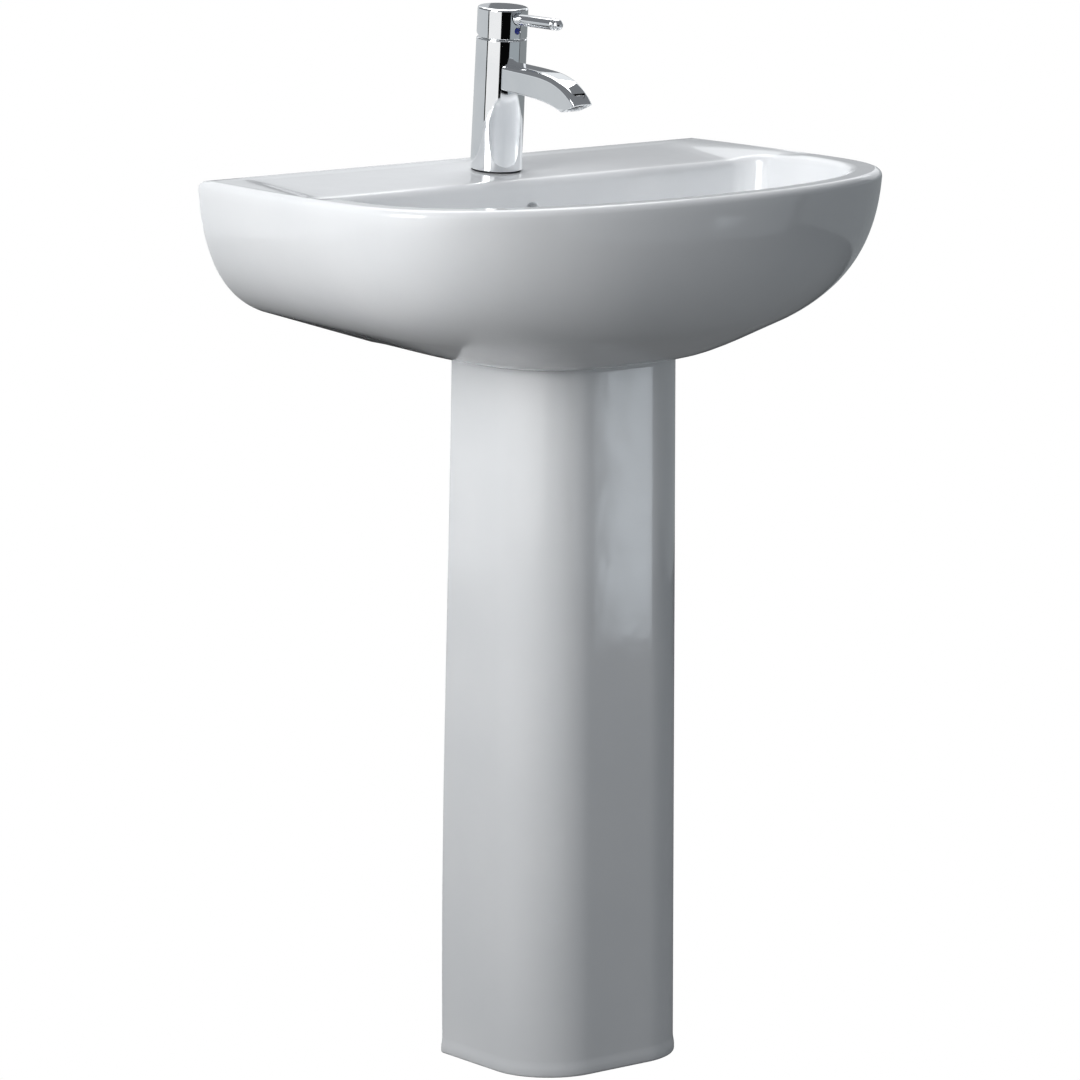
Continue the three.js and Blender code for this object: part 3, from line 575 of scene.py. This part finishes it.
def lever_frame():
    """+Z along the lever, starting on the cap's axis."""
    turn = Matrix.Rotation(math.pi / 2 - LEVER["rise"], 4, "X")
    return TAP @ Matrix.Translation((0, 0, LEVER["height"])) @ turn


def indicator_frame():
    """+Z forward from the cap's axis at the height of the dot."""
    return TAP @ (Matrix.Translation((0, 0, INDICATOR_HEIGHT)) @ Matrix.Rotation(math.pi / 2, 4, "X"))


def handle_cap():
    """The cup over the cartridge, with its lower back edge relieved so that it can tip."""
    profile = [(20.7, CAP_LOW), (TAP_TOP - 0.5, CAP_LOW), (TAP_TOP, CAP_LOW + 0.5), (TAP_TOP, CAP_TOP - 1.9),
               (TAP_TOP - 0.45, CAP_TOP - 0.8), (TAP_TOP - 1.5, CAP_TOP - 0.15),
               (TAP_TOP - 3, CAP_TOP + 0.05), (0, CAP_TOP + 0.4), (0, CAP_TOP - 4.7), (20.7, CAP_TOP - 4.7)]
    cap = spin("handle_chrome_cap", profile, TAP, segments=160, rounding=0.4)
    tilt = Matrix.Translation((0, 0, CAP_LOW + 0.2)) @ Matrix.Rotation(math.radians(16), 4, "X")
    relief = box("relief", (-30, 0, -20), (30, 60, 0), TAP @ tilt)
    socket_bore = [(0, 19.5), (5.6, 19.5), (5.6, 23), (6.6, 24.4), (6.6, 40), (0, 40)]
    socket = spin("socket", socket_bore, lever_frame(), rounding=0)
    dimple_bore = [(0, 22.1), (3.2, 22.1), (3.2, 23.2), (3.9, 24.4), (3.9, 30), (0, 30)]
    dimple = spin("dimple", dimple_bore, indicator_frame(), rounding=0)
    return combine(cap, [relief, socket, dimple], sharp=28)


def lever():
    """A plain pin with a neck near its end and a rounded tip."""
    radius, reach = LEVER["radius"], LEVER["reach"]
    profile = [(0, 4.4), (2.5, 4.4), (2.5, 21), (radius, 21), (radius, reach - 10.5),
               (radius - 0.35, reach - 9.7), (radius - 1.5, reach - 9.2), (radius - 1.5, reach - 8.4),
               (radius - 0.3, reach - 7.7)]
    ball_centre = reach - radius
    for k in range(9):
        a = math.radians(-22 + 112 * k / 8)
        profile.append((radius * math.cos(a) if k < 8 else 0, ball_centre + radius * math.sin(a)))
    return spin("lever_chrome_pin", profile, lever_frame(), segments=72, rounding=0.25)


def indicator():
    profile = [(0, 22.4), (2.9, 22.4), (2.9, 23.3), (2.2, 23.75), (0, 23.9)]
    return spin("indicator_dot", profile, indicator_frame(), 48, 0.3)


def aerator():
    """The outlet's screwed ring, with two spanner notches."""
    def notched(r, z, angle):
        return r - 0.7 if r > 8.6 and abs(math.sin(angle)) > 0.97 and z < 4 else r
    profile = [(7.6, 1), (9.2, 1), (9.2, 9.6), (7.6, 9.6)]
    return spin("aerator_ring", profile, outlet_frame(), 96, 0.35, shape=notched)


def aerator_jet():
    """The plastic jet: concentric ridges across the mouth."""
    flat, crest, ridges = 2.4, 1.75, 5
    profile = [(0, 8), (0, flat)]
    for k in range(ridges):
        r = 1.1 + 1.35 * k
        profile += [(r - 0.45, flat), (r - 0.25, crest), (r + 0.25, crest), (r + 0.45, flat)]
    profile += [(7.2, flat), (7.2, 8)]
    return spin("aerator_jet", profile, outlet_frame(), 64, 0.1)


# ---- nuts and studs ----------------------------------------------------------------
def hexagonal(flats, hole):
    """Shape that squeezes a turned blank into a hexagon outside its hole."""
    def squeeze(r, z, angle):
        if r <= hole + 0.6:
            return r
        local = (angle + math.pi / 6) % (math.pi / 3) - math.pi / 6
        return min(r, flats / 2 / math.cos(local))
    return squeeze


def nut(name, flats, hole, low, high, matrix):
    corner = flats / 2 / math.cos(math.pi / 6)
    bite = min(0.28 * (high - low), flats * 0.09)
    slope = [(blend(flats * 0.475, corner + 0.01, k / 6), bite * k / 6) for k in range(7)]
    profile = [(hole, low)] + [(r, low + z) for r, z in slope] + [(r, high - z) for r, z in slope[::-1]]
    profile.append((hole, high))
    return spin(name, profile, matrix, 144, 0, shape=hexagonal(flats, hole))


def ribbed(count, depth, beyond):
    """Shape that presses grip flutes into the outside of a turned nut."""
    def flute(r, z, angle):
        return r - depth * (0.5 - 0.5 * math.cos(count * angle)) ** 2 if r > beyond else r
    return flute


def threaded(radius, low, high, pitch=1.5):
    """Profile of a stud with thread ridges."""
    profile = [(0, low), (radius - 0.8, low)]
    count = int((high - low - 2) / pitch)
    for k in range(count):
        z = low + 1 + k * pitch
        profile += [(radius - 0.55, z), (radius, z + pitch / 2)]
    return profile + [(radius - 0.8, high), (0, high)]


# ---- waste, trap and supply tails -----------------------------------------------------------------
WASTE_AXIS = AT_WALL @ Matrix.Translation((0, WASTE_Y, 0))
NUT_LOW = BELLY - 60
GAP = 0.4
TAIL_BORE, TAIL = 17.5, 20.5
PIPE_BORE, PIPE = 13.6, 16
BOTTLE_BORE, BOTTLE = 24, 27
BOTTLE_LOW, BOTTLE_HIGH = 486, 560
WALL_PIPE_HEIGHT = 530


def waste_flange():
    """The flanged tail through the drain hole, slotted across for the overflow."""
    seat, bottom = SEAT, BELLY - 46
    profile = [(TAIL_BORE, bottom), (TAIL, bottom), (TAIL, seat + 1.6), (30, seat + 1.6), (31, seat + 2.2),
               (29.6, seat + 4.4), (24.4, seat + 4.4), (TAIL, seat + 2.8), (TAIL_BORE, seat + 2.8)]
    body = spin("waste_chrome_body", profile, WASTE_AXIS, 128, 0.5)
    slot = box("slot", (-8, -30, 676.5), (8, 30, 683.5), WASTE_AXIS)
    return combine(body, [slot])


def waste_plug():
    seat = SEAT
    profile = [(0, seat - 36), (3.8, seat - 36), (3.8, seat + 3.8), (9, seat + 5.2), (21.6, seat + 5.2),
               (22.4, seat + 6.2), (21.6, seat + 7.4), (12, seat + 8.4), (0, seat + 8.8)]
    return spin("waste_chrome_plug", profile, WASTE_AXIS, 128, 0.6)


def along_wall_pipe():
    """+Z from the bottle's axis towards the wall."""
    return WASTE_AXIS @ Matrix.Translation((0, 0, WALL_PIPE_HEIGHT)) @ Matrix.Rotation(-math.pi / 2, 4, "X")


def trap_body():
    """The upper half of the bottle, with the socket of the pipe to the wall."""
    hole, high = PIPE + GAP, BOTTLE_HIGH
    profile = [(BOTTLE_BORE, BOTTLE_LOW), (BOTTLE, BOTTLE_LOW), (BOTTLE, high - 12), (21, high), (hole, high),
               (hole, high - 4), (BOTTLE_BORE, high - 14)]
    bottle = spin("trap_plastic_body", profile, WASTE_AXIS, 128, 1.2)
    arm = spin("arm", [(0, 22), (19, 22), (19, 46), (0, 46)], along_wall_pipe(), 96, 0.8)
    bore = spin("bore", [(0, 18), (hole, 18), (hole, 50), (0, 50)], along_wall_pipe(), 96, 0)
    return combine(combine(bottle, [arm], "UNION"), [bore])


def trap_pieces():
    """Name, replaced node, profile, matrix, flute count, flute depth and radius beyond which flutes cut."""
    end, low = BELLY - 46.4, NUT_LOW
    inlet = [(PIPE_BORE, 470), (PIPE, 470), (PIPE, low + 6), (20, low + 6), (20, end), (PIPE_BORE, end)]
    hole, thread = PIPE + GAP, TAIL + GAP
    inlet_nut = [(hole, low), (25, low), (26, low + 2), (26, low + 24), (thread, low + 24),
                 (thread, low + 5.6), (hole, low + 5.6)]
    top = BOTTLE_HIGH + 0.3
    top_nut = [(hole, top), (23, top), (23, 574), (hole, 574)]
    edge = BOTTLE_LOW - 0.3
    cup = [(0, 425), (14, 425), (22, 430), (BOTTLE, 443), (BOTTLE, edge),
           (BOTTLE_BORE, edge), (BOTTLE_BORE, 445), (20, 434), (0, 430)]
    outlet = [(PIPE_BORE, 30), (PIPE, 30), (PIPE, 100), (PIPE_BORE, 100)]
    outlet_nut = [(hole, 46.3), (24, 46.3), (24, 62), (22, 66), (hole, 66)]
    pipe = along_wall_pipe()
    return [
        ("trap_plastic_inlet", "trap_inlet_pipe", inlet, WASTE_AXIS, 0, 0, 99),
        ("trap_plastic_inlet_nut", "trap_inlet_nut", inlet_nut, WASTE_AXIS, 24, 1.3, 25.2),
        ("trap_plastic_top_nut", "trap_top_nut", top_nut, WASTE_AXIS, 20, 1.2, 22.2),
        ("trap_plastic_cup", "trap_cup", cup, WASTE_AXIS, 28, 1.0, 26.4),
        ("trap_plastic_outlet", "trap_outlet_pipe", outlet, pipe, 0, 0, 99),
        ("trap_plastic_outlet_nut", "trap_outlet_nut", outlet_nut, pipe, 20, 1.2, 23.2),
    ]


def supply_tail(name, side):
    """Bent copper tube: square out of the tap, eased apart, then straight down."""
    start = [AT_WALL.inverted() @ TAP @ Vector((side * 7.5, -5, z)) for z in (42, 0, -40)]
    y, x = start[2].y, side * 30
    ends = [((x + start[2].x) / 2, y + 3, 744), (x, y + 4, 690), (x, y + 4, 650), (x, y + 4, 610)]
    points = [tuple(p) for p in start] + ends
    radius, around, steps = 5, 28, 90
    courses = [[p[n] for p in points] for n in range(3)]
    centres = [Vector([catmull(course, k / steps) for course in courses]) for k in range(steps + 1)]
    rows = []
    for k, centre in enumerate(centres):
        along = (centres[min(k + 1, steps)] - centres[max(k - 1, 0)]).normalized()
        across = Vector((1, 0, 0)) - along * along.x
        across.normalize()
        third = along.cross(across)
        rows.append([tuple(centre + radius * (across * math.cos(a) + third * math.sin(a)))
                     for a in (2 * math.pi * i / around for i in range(around))])
    return skin(name, rows, AT_WALL, caps=True)


# ---- materials --------------------------------------------------------------------------------------
def node_material(name, color, metallic, roughness, **sockets):
    """A principled material, its node tree, its shader and the object coordinates in metres."""
    material = bpy.data.materials.new(name)
    material.use_nodes = True
    tree = material.node_tree
    shader = tree.nodes["Principled BSDF"]
    shader.inputs["Base Color"].default_value = (*color, 1)
    shader.inputs["Metallic"].default_value = metallic
    shader.inputs["Roughness"].default_value = roughness
    for socket, value in sockets.items():
        shader.inputs[socket.replace("_", " ")].default_value = value
    coordinates = tree.nodes.new("ShaderNodeTexCoord").outputs["Object"]
    return material, tree, shader, coordinates


def noise(tree, coordinates, scale, detail=4, roughness=0.5):
    node = tree.nodes.new("ShaderNodeTexNoise")
    node.inputs["Scale"].default_value = scale
    node.inputs["Detail"].default_value = detail
    node.inputs["Roughness"].default_value = roughness
    tree.links.new(coordinates, node.inputs["Vector"])
    return node.outputs["Fac"]


def ramp(tree, source, low, high, start=0.35, end=0.65):
    """Maps a 0..1 source to values or colours between low and high."""
    node = tree.nodes.new("ShaderNodeValToRGB")
    colours = [c if isinstance(c, tuple) else (c, c, c) for c in (low, high)]
    for element, position, colour in zip(node.color_ramp.elements, (start, end), colours):
        element.position = position
        element.color = (*colour, 1)
    tree.links.new(source, node.inputs["Fac"])
    return node.outputs["Color"]


def bump(tree, shader, height, distance, strength=1.0):
    node = tree.nodes.new("ShaderNodeBump")
    node.inputs["Distance"].default_value = distance
    node.inputs["Strength"].default_value = strength
    tree.links.new(height, node.inputs["Height"])
    tree.links.new(node.outputs["Normal"], shader.inputs["Normal"])


def glazed_ceramic():
    """White glaze: a mirror-like coat with the faint waviness of a fired surface."""
    material, tree, shader, at = node_material("glazed_ceramic", (0.83, 0.845, 0.86), 0, 0.07, IOR=1.52)
    tint = ramp(tree, noise(tree, at, 9, 3), (0.82, 0.835, 0.85), (0.85, 0.862, 0.875))
    tree.links.new(tint, shader.inputs["Base Color"])
    tree.links.new(ramp(tree, noise(tree, at, 35, 5), 0.05, 0.1), shader.inputs["Roughness"])
    bump(tree, shader, noise(tree, at, 22, 2), 0.0006, 0.35)
    return material


def chrome():
    material, tree, shader, at = node_material("polished_chrome", (0.86, 0.875, 0.89), 1, 0.03)
    tree.links.new(ramp(tree, noise(tree, at, 120, 5), 0.02, 0.055), shader.inputs["Roughness"])
    tint = ramp(tree, noise(tree, at, 40, 3), (0.84, 0.855, 0.87), (0.88, 0.89, 0.9))
    tree.links.new(tint, shader.inputs["Base Color"])
    return material


def worn_metal(name, dark, light, rough_low, rough_high, grain, depth):
    """Cast, turned or plated metal with mottled colour and a fine grain."""
    material, tree, shader, at = node_material(name, light, 1, rough_high)
    tree.links.new(ramp(tree, noise(tree, at, 60, 6, 0.6), dark, light), shader.inputs["Base Color"])
    tree.links.new(ramp(tree, noise(tree, at, 200, 4), rough_low, rough_high), shader.inputs["Roughness"])
    bump(tree, shader, noise(tree, at, grain, 3), depth, 0.5)
    return material


def moulded(name, dark, light, rough_low, rough_high, grain, depth):
    """Moulded plastic or rubber with a fine surface grain."""
    material, tree, shader, at = node_material(name, light, 0, rough_high)
    tree.links.new(ramp(tree, noise(tree, at, 45, 4), dark, light), shader.inputs["Base Color"])
    tree.links.new(ramp(tree, noise(tree, at, 160, 4), rough_low, rough_high), shader.inputs["Roughness"])
    bump(tree, shader, noise(tree, at, grain, 2), depth, 0.4)
    return material


MATERIALS = {
    "glazed_ceramic": glazed_ceramic(),
    "chrome": chrome(),
    "brass": worn_metal("turned_brass", (0.5, 0.36, 0.14), (0.68, 0.52, 0.26), 0.22, 0.4, 900, 0.0001),
    "copper": worn_metal("drawn_copper", (0.48, 0.24, 0.14), (0.72, 0.4, 0.27), 0.18, 0.36, 500, 0.0001),
    "steel": worn_metal("zinc_plate", (0.42, 0.43, 0.44), (0.62, 0.63, 0.65), 0.25, 0.45, 700, 0.0001),
    "rubber": moulded("black_rubber", (0.012, 0.012, 0.013), (0.03, 0.03, 0.032), 0.6, 0.85, 900, 0.0001),
    "white_plastic": moulded("white_plastic", (0.78, 0.78, 0.75), (0.84, 0.84, 0.82), 0.3, 0.48, 700, 6e-5),
    "dark_plastic": moulded("dark_plastic", (0.03, 0.03, 0.034), (0.055, 0.055, 0.06), 0.35, 0.55, 700, 6e-5),
    "blue_plastic": moulded("blue_enamel", (0.006, 0.012, 0.14), (0.01, 0.022, 0.22), 0.08, 0.16, 300, 2e-5),
}


# ---- placing pieces -----------------------------------------------------------------------------------
SLOT_OF = {row["node"]: row["material_slot"] for row in frame["record"]["subparts"]}
BODY_OF = {node: body for body, nodes in frame["record"]["behaviour"]["bodies"].items() for node in nodes}


def stand_for(piece, node):
    """Puts a detailed piece in the place of its CAD node."""
    piece.data.materials.clear()
    piece.data.materials.append(MATERIALS[SLOT_OF[node]])
    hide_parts(node)
    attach(piece, BODY_OF[node])


def dress_cad_nodes():
    """Every CAD node gets its slot's material; those without a detailed piece are shown as they are."""
    for name, node in frame["nodes"].items():
        node.data.materials.clear()
        node.data.materials.append(MATERIALS[SLOT_OF[name]])


def wall_fixings(side, name):
    """A threaded bolt with its bush, washer and nut behind the basin's back."""
    axis = wall_bolt_axis(side)
    face = BACK_WALL
    stand_for(spin(f"bolt_{name}", threaded(5, -40, face + 22), axis, 48, 0), f"wall_bolt_{name}")
    bush = [(5.3, 1), (6.7, 1), (6.7, face + 0.3), (11, face + 0.3), (11, face + 3), (5.3, face + 3)]
    stand_for(spin(f"bush_{name}", bush, axis), f"wall_bush_{name}")
    washer = [(5.4, face + 3.3), (12, face + 3.3), (12, face + 5.3), (5.4, face + 5.3)]
    stand_for(spin(f"washer_{name}", washer, axis), f"wall_washer_{name}")
    stand_for(nut(f"nut_{name}", 17, 5.3, face + 5.6, face + 13.6, axis), f"wall_nut_{name}")


def floor_fixings(side, name):
    """A cross-headed screw through a cup washer on the pedestal's lug."""
    axis = floor_screw_axis(side)
    cup = [(3.3, 10.3), (9, 10.3), (7.5, 12.8), (3.3, 12.8)]
    stand_for(spin(f"screw_cup_{name}", cup, axis), f"floor_washer_{name}")
    head = [(0, 0.6), (3, 0.6), (3, 13.1), (6.5, 13.1), (6.3, 14.6), (5, 16.2), (3, 17), (0, 17)]
    screw = spin(f"screw_{name}", head, axis, 64, 0.4)
    recess = axis @ Matrix.Translation((0, 0, 15.2))
    cross = [box("cross", (-x, -y, 0), (x, y, 6), recess) for x, y in ((3.4, 0.6), (0.6, 3.4))]
    stand_for(combine(screw, cross), f"floor_screw_{name}")


def under_deck():
    """The gasket, clamp stud and nut, and the compression nuts of the tails."""
    ring = [(18, 0.3), (23.4, 0.3), (23.4, 1.3), (18, 1.3)]
    stand_for(spin("gasket_ring", ring, TAP, 128, 0.3), "base_gasket")
    stud_axis = TAP @ Matrix.Translation((0, 9, 0))
    stand_for(spin("clamp_stud", threaded(4, -49, 33, 1.25), stud_axis, 48, 0), "fixing_stud")
    stand_for(nut("clamp_nut", 13, 4.3, -31, -21.3, stud_axis), "fixing_nut")
    for side, name in ((-1, "hot"), (1, "cold")):
        stand_for(supply_tail(f"{name}_copper_tail", side), f"{name}_supply_tail")
        low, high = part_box(f"{name}_tail_nut")
        centre = (low + high) / 2
        axis = Matrix.Translation((centre.x, centre.y, 0)) @ Matrix.Scale(MM, 4)
        tail_nut = nut(f"{name}_compression_nut", 17, 5.5, low.z / MM, high.z / MM, axis)
        stand_for(tail_nut, f"{name}_tail_nut")


def waste_and_trap():
    stand_for(waste_flange(), "waste_body")
    stand_for(waste_plug(), "waste_plug")
    hole = TAIL + GAP
    seals = [("flange_seal", "waste_flange_seal", hole, 29, SEAT + 0.3, SEAT + 1.3),
             ("lower_seal", "waste_lower_seal", hole, 30, BELLY - 3.3, BELLY - 0.3),
             ("plug_washer", "plug_seal", 9.4, 20, SEAT + 3.1, SEAT + 4.9)]
    for name, node, inner, outer, low, high in seals:
        profile = [(inner, low), (outer, low), (outer, high), (inner, high)]
        stand_for(spin(name, profile, WASTE_AXIS, 96, 0.4), node)
    stand_for(nut("waste_brass_nut", 52, hole, BELLY - 12, BELLY - 3.6, WASTE_AXIS), "waste_backnut")
    stand_for(trap_body(), "trap_body")
    for name, node, profile, matrix, count, depth, beyond in trap_pieces():
        shape = ribbed(count, depth, beyond) if count else None
        stand_for(spin(name, profile, matrix, 288 if count else 96, 0.8, shape=shape), node)


def tap():
    stand_for(tap_body(), "tap_body")
    stand_for(handle_cap(), "handle_cap")
    stand_for(lever(), "lever_pin")
    stand_for(indicator(), "indicator_plug")
    stand_for(aerator(), "aerator_housing")
    stand_for(aerator_jet(), "aerator_insert")


dress_cad_nodes()
stand_for(basin(), "basin")
stand_for(pedestal(), "pedestal")
tap()
under_deck()
waste_and_trap()
for hand, word in ((-1, "left"), (1, "right")):
    wall_fixings(hand, word)
    floor_fixings(hand, word)


# ---- studio -------------------------------------------------------------------------------------------
def floor():
    """Plain pale floor that runs out to the horizon."""
    reach = 60
    corners = [(-reach, -reach, 0), (reach, -reach, 0), (reach, reach, 0), (-reach, reach, 0)]
    mesh = bpy.data.meshes.new("floor")
    mesh.from_pydata(corners, [], [(0, 1, 2, 3)])
    obj = bpy.data.objects.new("floor", mesh)
    bpy.context.scene.collection.objects.link(obj)
    mesh.materials.append(floor_paper())


def floor_paper():
    """White paper, glowing when seen directly; as a source of light it is a grey pool that dies out."""
    pool_grey, far_grey = 0.17, 0.01
    colour = (pool_grey, pool_grey, pool_grey)
    material, tree, shader, at = node_material("floor_paper", colour, 0, 0.9, Specular_IOR_Level=0)
    distance = tree.nodes.new("ShaderNodeVectorMath")
    distance.operation = "LENGTH"
    tree.links.new(at, distance.inputs[0])
    pool = tree.nodes.new("ShaderNodeMapRange")
    extents = {"From Min": 1.6, "From Max": 2.6, "To Min": pool_grey, "To Max": far_grey}
    for socket, value in extents.items():
        pool.inputs[socket].default_value = value
    tree.links.new(distance.outputs["Value"], pool.inputs["Value"])
    tree.links.new(pool.outputs["Result"], shader.inputs["Base Color"])
    glow = tree.nodes.new("ShaderNodeEmission")
    glow.inputs["Color"].default_value = (1, 1, 1, 1)
    seen = tree.nodes.new("ShaderNodeLightPath").outputs["Is Camera Ray"]
    choose = tree.nodes.new("ShaderNodeMixShader")
    tree.links.new(seen, choose.inputs["Fac"])
    tree.links.new(shader.outputs["BSDF"], choose.inputs[1])
    tree.links.new(glow.outputs["Emission"], choose.inputs[2])
    tree.links.new(choose.outputs["Shader"], tree.nodes["Material Output"].inputs["Surface"])
    return material


def lamp(name, place, aim, size, power, color=(1, 1, 1), spread=180):
    """A rectangular soft light, hidden from view, in metres, watts and degrees."""
    data = bpy.data.lights.new(name, "AREA")
    data.shape = "RECTANGLE"
    data.size, data.size_y = size
    data.energy = power
    data.spread = math.radians(spread)
    data.color = color
    obj = bpy.data.objects.new(name, data)
    obj.location = place
    obj.rotation_euler = (Vector(aim) - Vector(place)).to_track_quat("-Z", "Y").to_euler()
    obj.visible_camera = False
    bpy.context.scene.collection.objects.link(obj)


def card(name, azimuth, span, low, high, brightness, color=(1, 1, 1)):
    """An upright glowing board two metres away, from low to high above the floor, for the glaze and chrome
    to reflect. Its middle lies at the azimuth and it covers the span, both in degrees."""
    distance = 2.0
    turn = math.radians(azimuth)
    middle = (low + high) / 2
    place = (distance * math.sin(turn), -distance * math.cos(turn), middle)
    size = (2 * distance * math.tan(math.radians(span / 2)), high - low)
    lamp(name, place, (0, 0, middle), size, math.pi * size[0] * size[1] * brightness, color)


def studio():
    floor()
    world = bpy.data.worlds.new("studio")
    world.use_nodes = True
    background = world.node_tree.nodes["Background"]
    background.inputs["Color"].default_value = (0.9, 0.94, 1, 1)
    background.inputs["Strength"].default_value = 0.22
    bpy.context.scene.world = world
    middle = (0, 0, 0.6)
    lamp("key", (-1.9, -0.35, 1.58), (0, 0, 0.95), (1.0, 1.3), 4.9, spread=60)
    lamp("overhead", (0.55, 0.9, 2.7), middle, (1.6, 1.6), 29)
    lamp("window", (1.045, -1.25, 0.28), (0.13, -0.1, 0.53), (0.2, 0.34), 0.0085, (0.85, 0.93, 1), spread=20)
    # azimuth, span, low, high, brightness and colour
    card("white_board", -74, 58, 0.15, 1.3, 0.95)
    card("cool_board", 28, 54, 0.1, 1.0, 0.4, (0.85, 0.94, 1))
    card("shaded_board", 98, 80, 0.1, 1.0, 0.28, (0.9, 0.97, 1))
    card("grey_board", -158, 100, 0.1, 1.1, 0.62, (0.93, 0.97, 1))
    card("backdrop", 161, 34, 1.02, 1.55, 0.38, (0.96, 0.98, 1))
    card("side_backdrop", 112, 36, 1.02, 1.7, 0.8, (0.96, 0.98, 1))
    card("high_backdrop", 144, 64, 1.56, 2.6, 0.7, (0.97, 0.99, 1))
    bpy.context.scene.view_settings.view_transform = "Standard"


studio()
